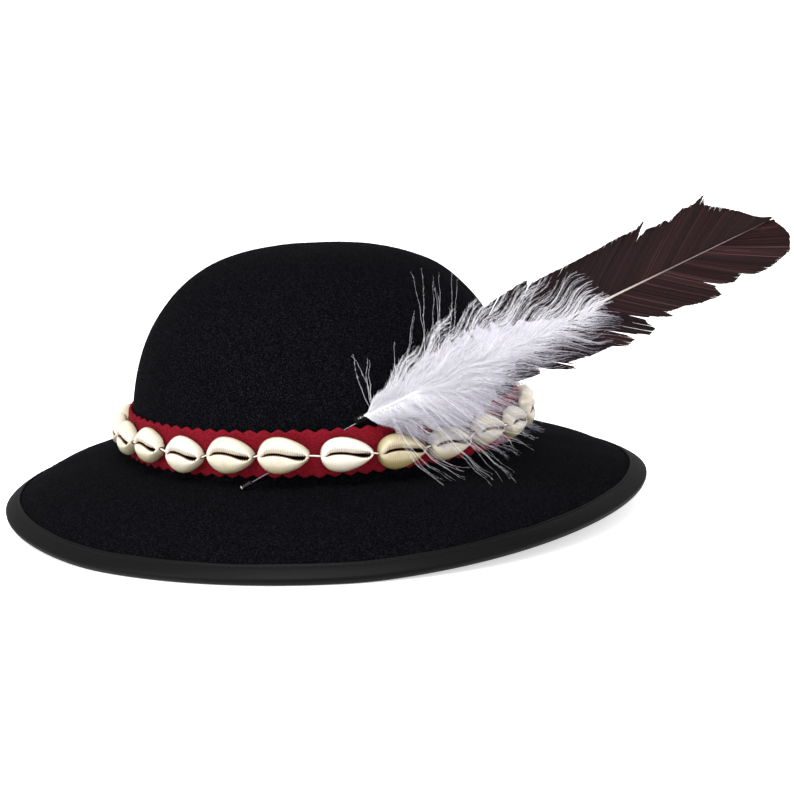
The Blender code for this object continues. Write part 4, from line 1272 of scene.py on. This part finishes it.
def plume(name, barbs, per_path, length, width, shade, stands_for=()):
    """Barbs with their hairs as one piece. Shade is how grey their far ends are."""
    paths, bare = barbs
    count, steps, _three = paths.shape
    along_barb = np.linspace(0.0, 1.0, steps)
    taper = (1.0 - 0.8 * along_barb)[None, :]
    points, faces = strands(paths, width * taper, width * taper, down_front)
    hair_roots, hair_tips, share = hairs(paths, per_path, length, down_draws, bare)
    hair_points, hair_faces = spikes(hair_roots, hair_tips, HAIR_WIDTH)
    made = add_piece(name, np.vstack([points, hair_points]), np.vstack([faces, hair_faces + len(points)]),
                     down, "white_down", stands_for)
    paint(made, "shade", shade * np.concatenate([np.tile(np.repeat(along_barb, 3), count), np.repeat(share, 4)]))


plume("down_upper_barbs", down_barbs(DOWN_UPPER, 1, DOWN_BARBS, 1.2, down_draws), HAIRS_PER_BARB, HAIR_LENGTH,
      DOWN_BARB_WIDTH, 0.25, ["down_feather"])
plume("down_lower_barbs", down_barbs(DOWN_LOWER, -1, 350, 1.6, down_draws), 88, HAIR_LENGTH,
      DOWN_BARB_WIDTH, 1.1)
plume("down_front_barbs", down_barbs(DOWN_FRONT, 0, 200, 3.0, down_draws), 90, HAIR_LENGTH,
      DOWN_BARB_WIDTH, 0.4)

# The middle is so dense that single barbs merge there, so a thin soft body fills it, painted grey-lilac as the shade
# between the hairs and darker on its lower side.
core_draws = np.array(DOWN_CORE)
rings = []
for along in np.linspace(5.0, 108.0, 70):
    above, below = (np.interp(along, core_draws[:, 0], core_draws[:, column]) for column in (1, 2))
    ragged = 1.0 + 0.5 * noise.noise(Vector((along / 2.2, 4.0, 9.0)))
    ring = []
    for turn in np.linspace(0, 2 * math.pi, 28, endpoint=False):
        off = math.cos(turn) * (above if math.cos(turn) > 0 else below)
        off *= 0.82 * ragged
        ripple = 0.35 * noise.noise(Vector((along / 4.0 - off / 4.0, off / 9.0, 2.0)))
        ring.append(down_point(along / 118.0, along - 2.0, off, -0.2 + (0.6 + ripple) * math.sin(turn)))
    rings.append(ring)
core = add_piece("down_middle", *loft(rings, ring=False), down, "white_down")
# Painted shade: the body is grey, and darker along its lower side.
paint(core, "shade", np.tile(np.where(np.cos(np.linspace(0, 2 * math.pi, 28, endpoint=False)) < -0.3, 0.95, 0.80), 70))

wisp_paths = []
for root, mid_along, mid_off, end_along, end_off, forward in DOWN_WISPS:
    for _twin in range(5 if mid_off < 0 and root < 0.4 else 2):
        jitter = down_draws.normal(scale=1.5, size=4)
        start = down_point(root, root * DOWN_LENGTH * 1000, 0.0, 0.3)
        middle = down_point(root, mid_along + jitter[0], mid_off + jitter[1], 2.0 + forward)
        end = down_point(root, end_along + 2 * jitter[2], end_off + 2 * jitter[3], forward)
        wisp_paths.append(bent(start[None], middle[None], end[None], WISP_STEPS)[0])
wisp_paths = wavy(np.array(wisp_paths), 0.7)
plume("down_wisps", (wisp_paths, np.full(len(wisp_paths), 0.6)), 60, 0.0028, 0.00011, 0.5)
shaft("down_shaft", down_base, DOWN_RISE, DOWN_LENGTH, DOWN_BOW,
      ((0.0, 0.00085), (0.25, 0.0007), (0.6, 0.0003), (1.0, 0.0001)), horn, "white_down", 0.012)


# Winding: black thread wound round both shafts and the pin, with a few loose ends.
WIND_TURNS = 15
WIND_THREAD = 0.00021
WIND_RADIUS = 0.0016

wind_along, wind_upward, wind_front = shaft_frame(DOWN_RISE)
steps = WIND_TURNS * 26
swing = np.linspace(0.0, WIND_TURNS * 2 * math.pi, steps)
place = np.linspace(-0.5, 0.5, steps)
wind_radius = (WIND_RADIUS + 0.00012 * np.sin(place * 41.0) + 0.00008 * np.sin(swing * 0.37)
               - WIND_THREAD * 2.2 * np.abs(place * 2) ** 3)
wind = (np.array(wrap_centre) + wind_along * (place * WRAP_LENGTH)[:, None]
        + (np.cos(swing) * wind_radius)[:, None] * wind_upward + (np.sin(swing) * wind_radius)[:, None] * wind_front)
wind_points, wind_faces = strands(wind[None], WIND_THREAD * 2.4, WIND_THREAD * 2.2, wind_along)
draws = np.random.default_rng(5)
loose_roots = wind[draws.integers(0, steps, 70)]
loose_way = draws.normal(size=(70, 3)) + np.array([0.0, -0.4, 0.0])
loose_way /= np.linalg.norm(loose_way, axis=1, keepdims=True)
loose_points, loose_faces = spikes(loose_roots, loose_roots + loose_way * draws.uniform(0.001, 0.0032, (70, 1)), 0.00005)
wound_cotton, tree, shader = finish("black_wound_cotton", {"Roughness": 0.7, "Specular IOR Level": 0.1})
tree.links.new(ramp(tree, speckle(tree, 0.0006), (0.3, "#050506"), (0.7, "#121214")), shader.inputs["Base Color"])
add_piece("feather_winding", np.vstack([wind_points, loose_points]),
          np.vstack([wind_faces, loose_faces + len(wind_points)]), wound_cotton, "black_thread", ["feather_wrap"])
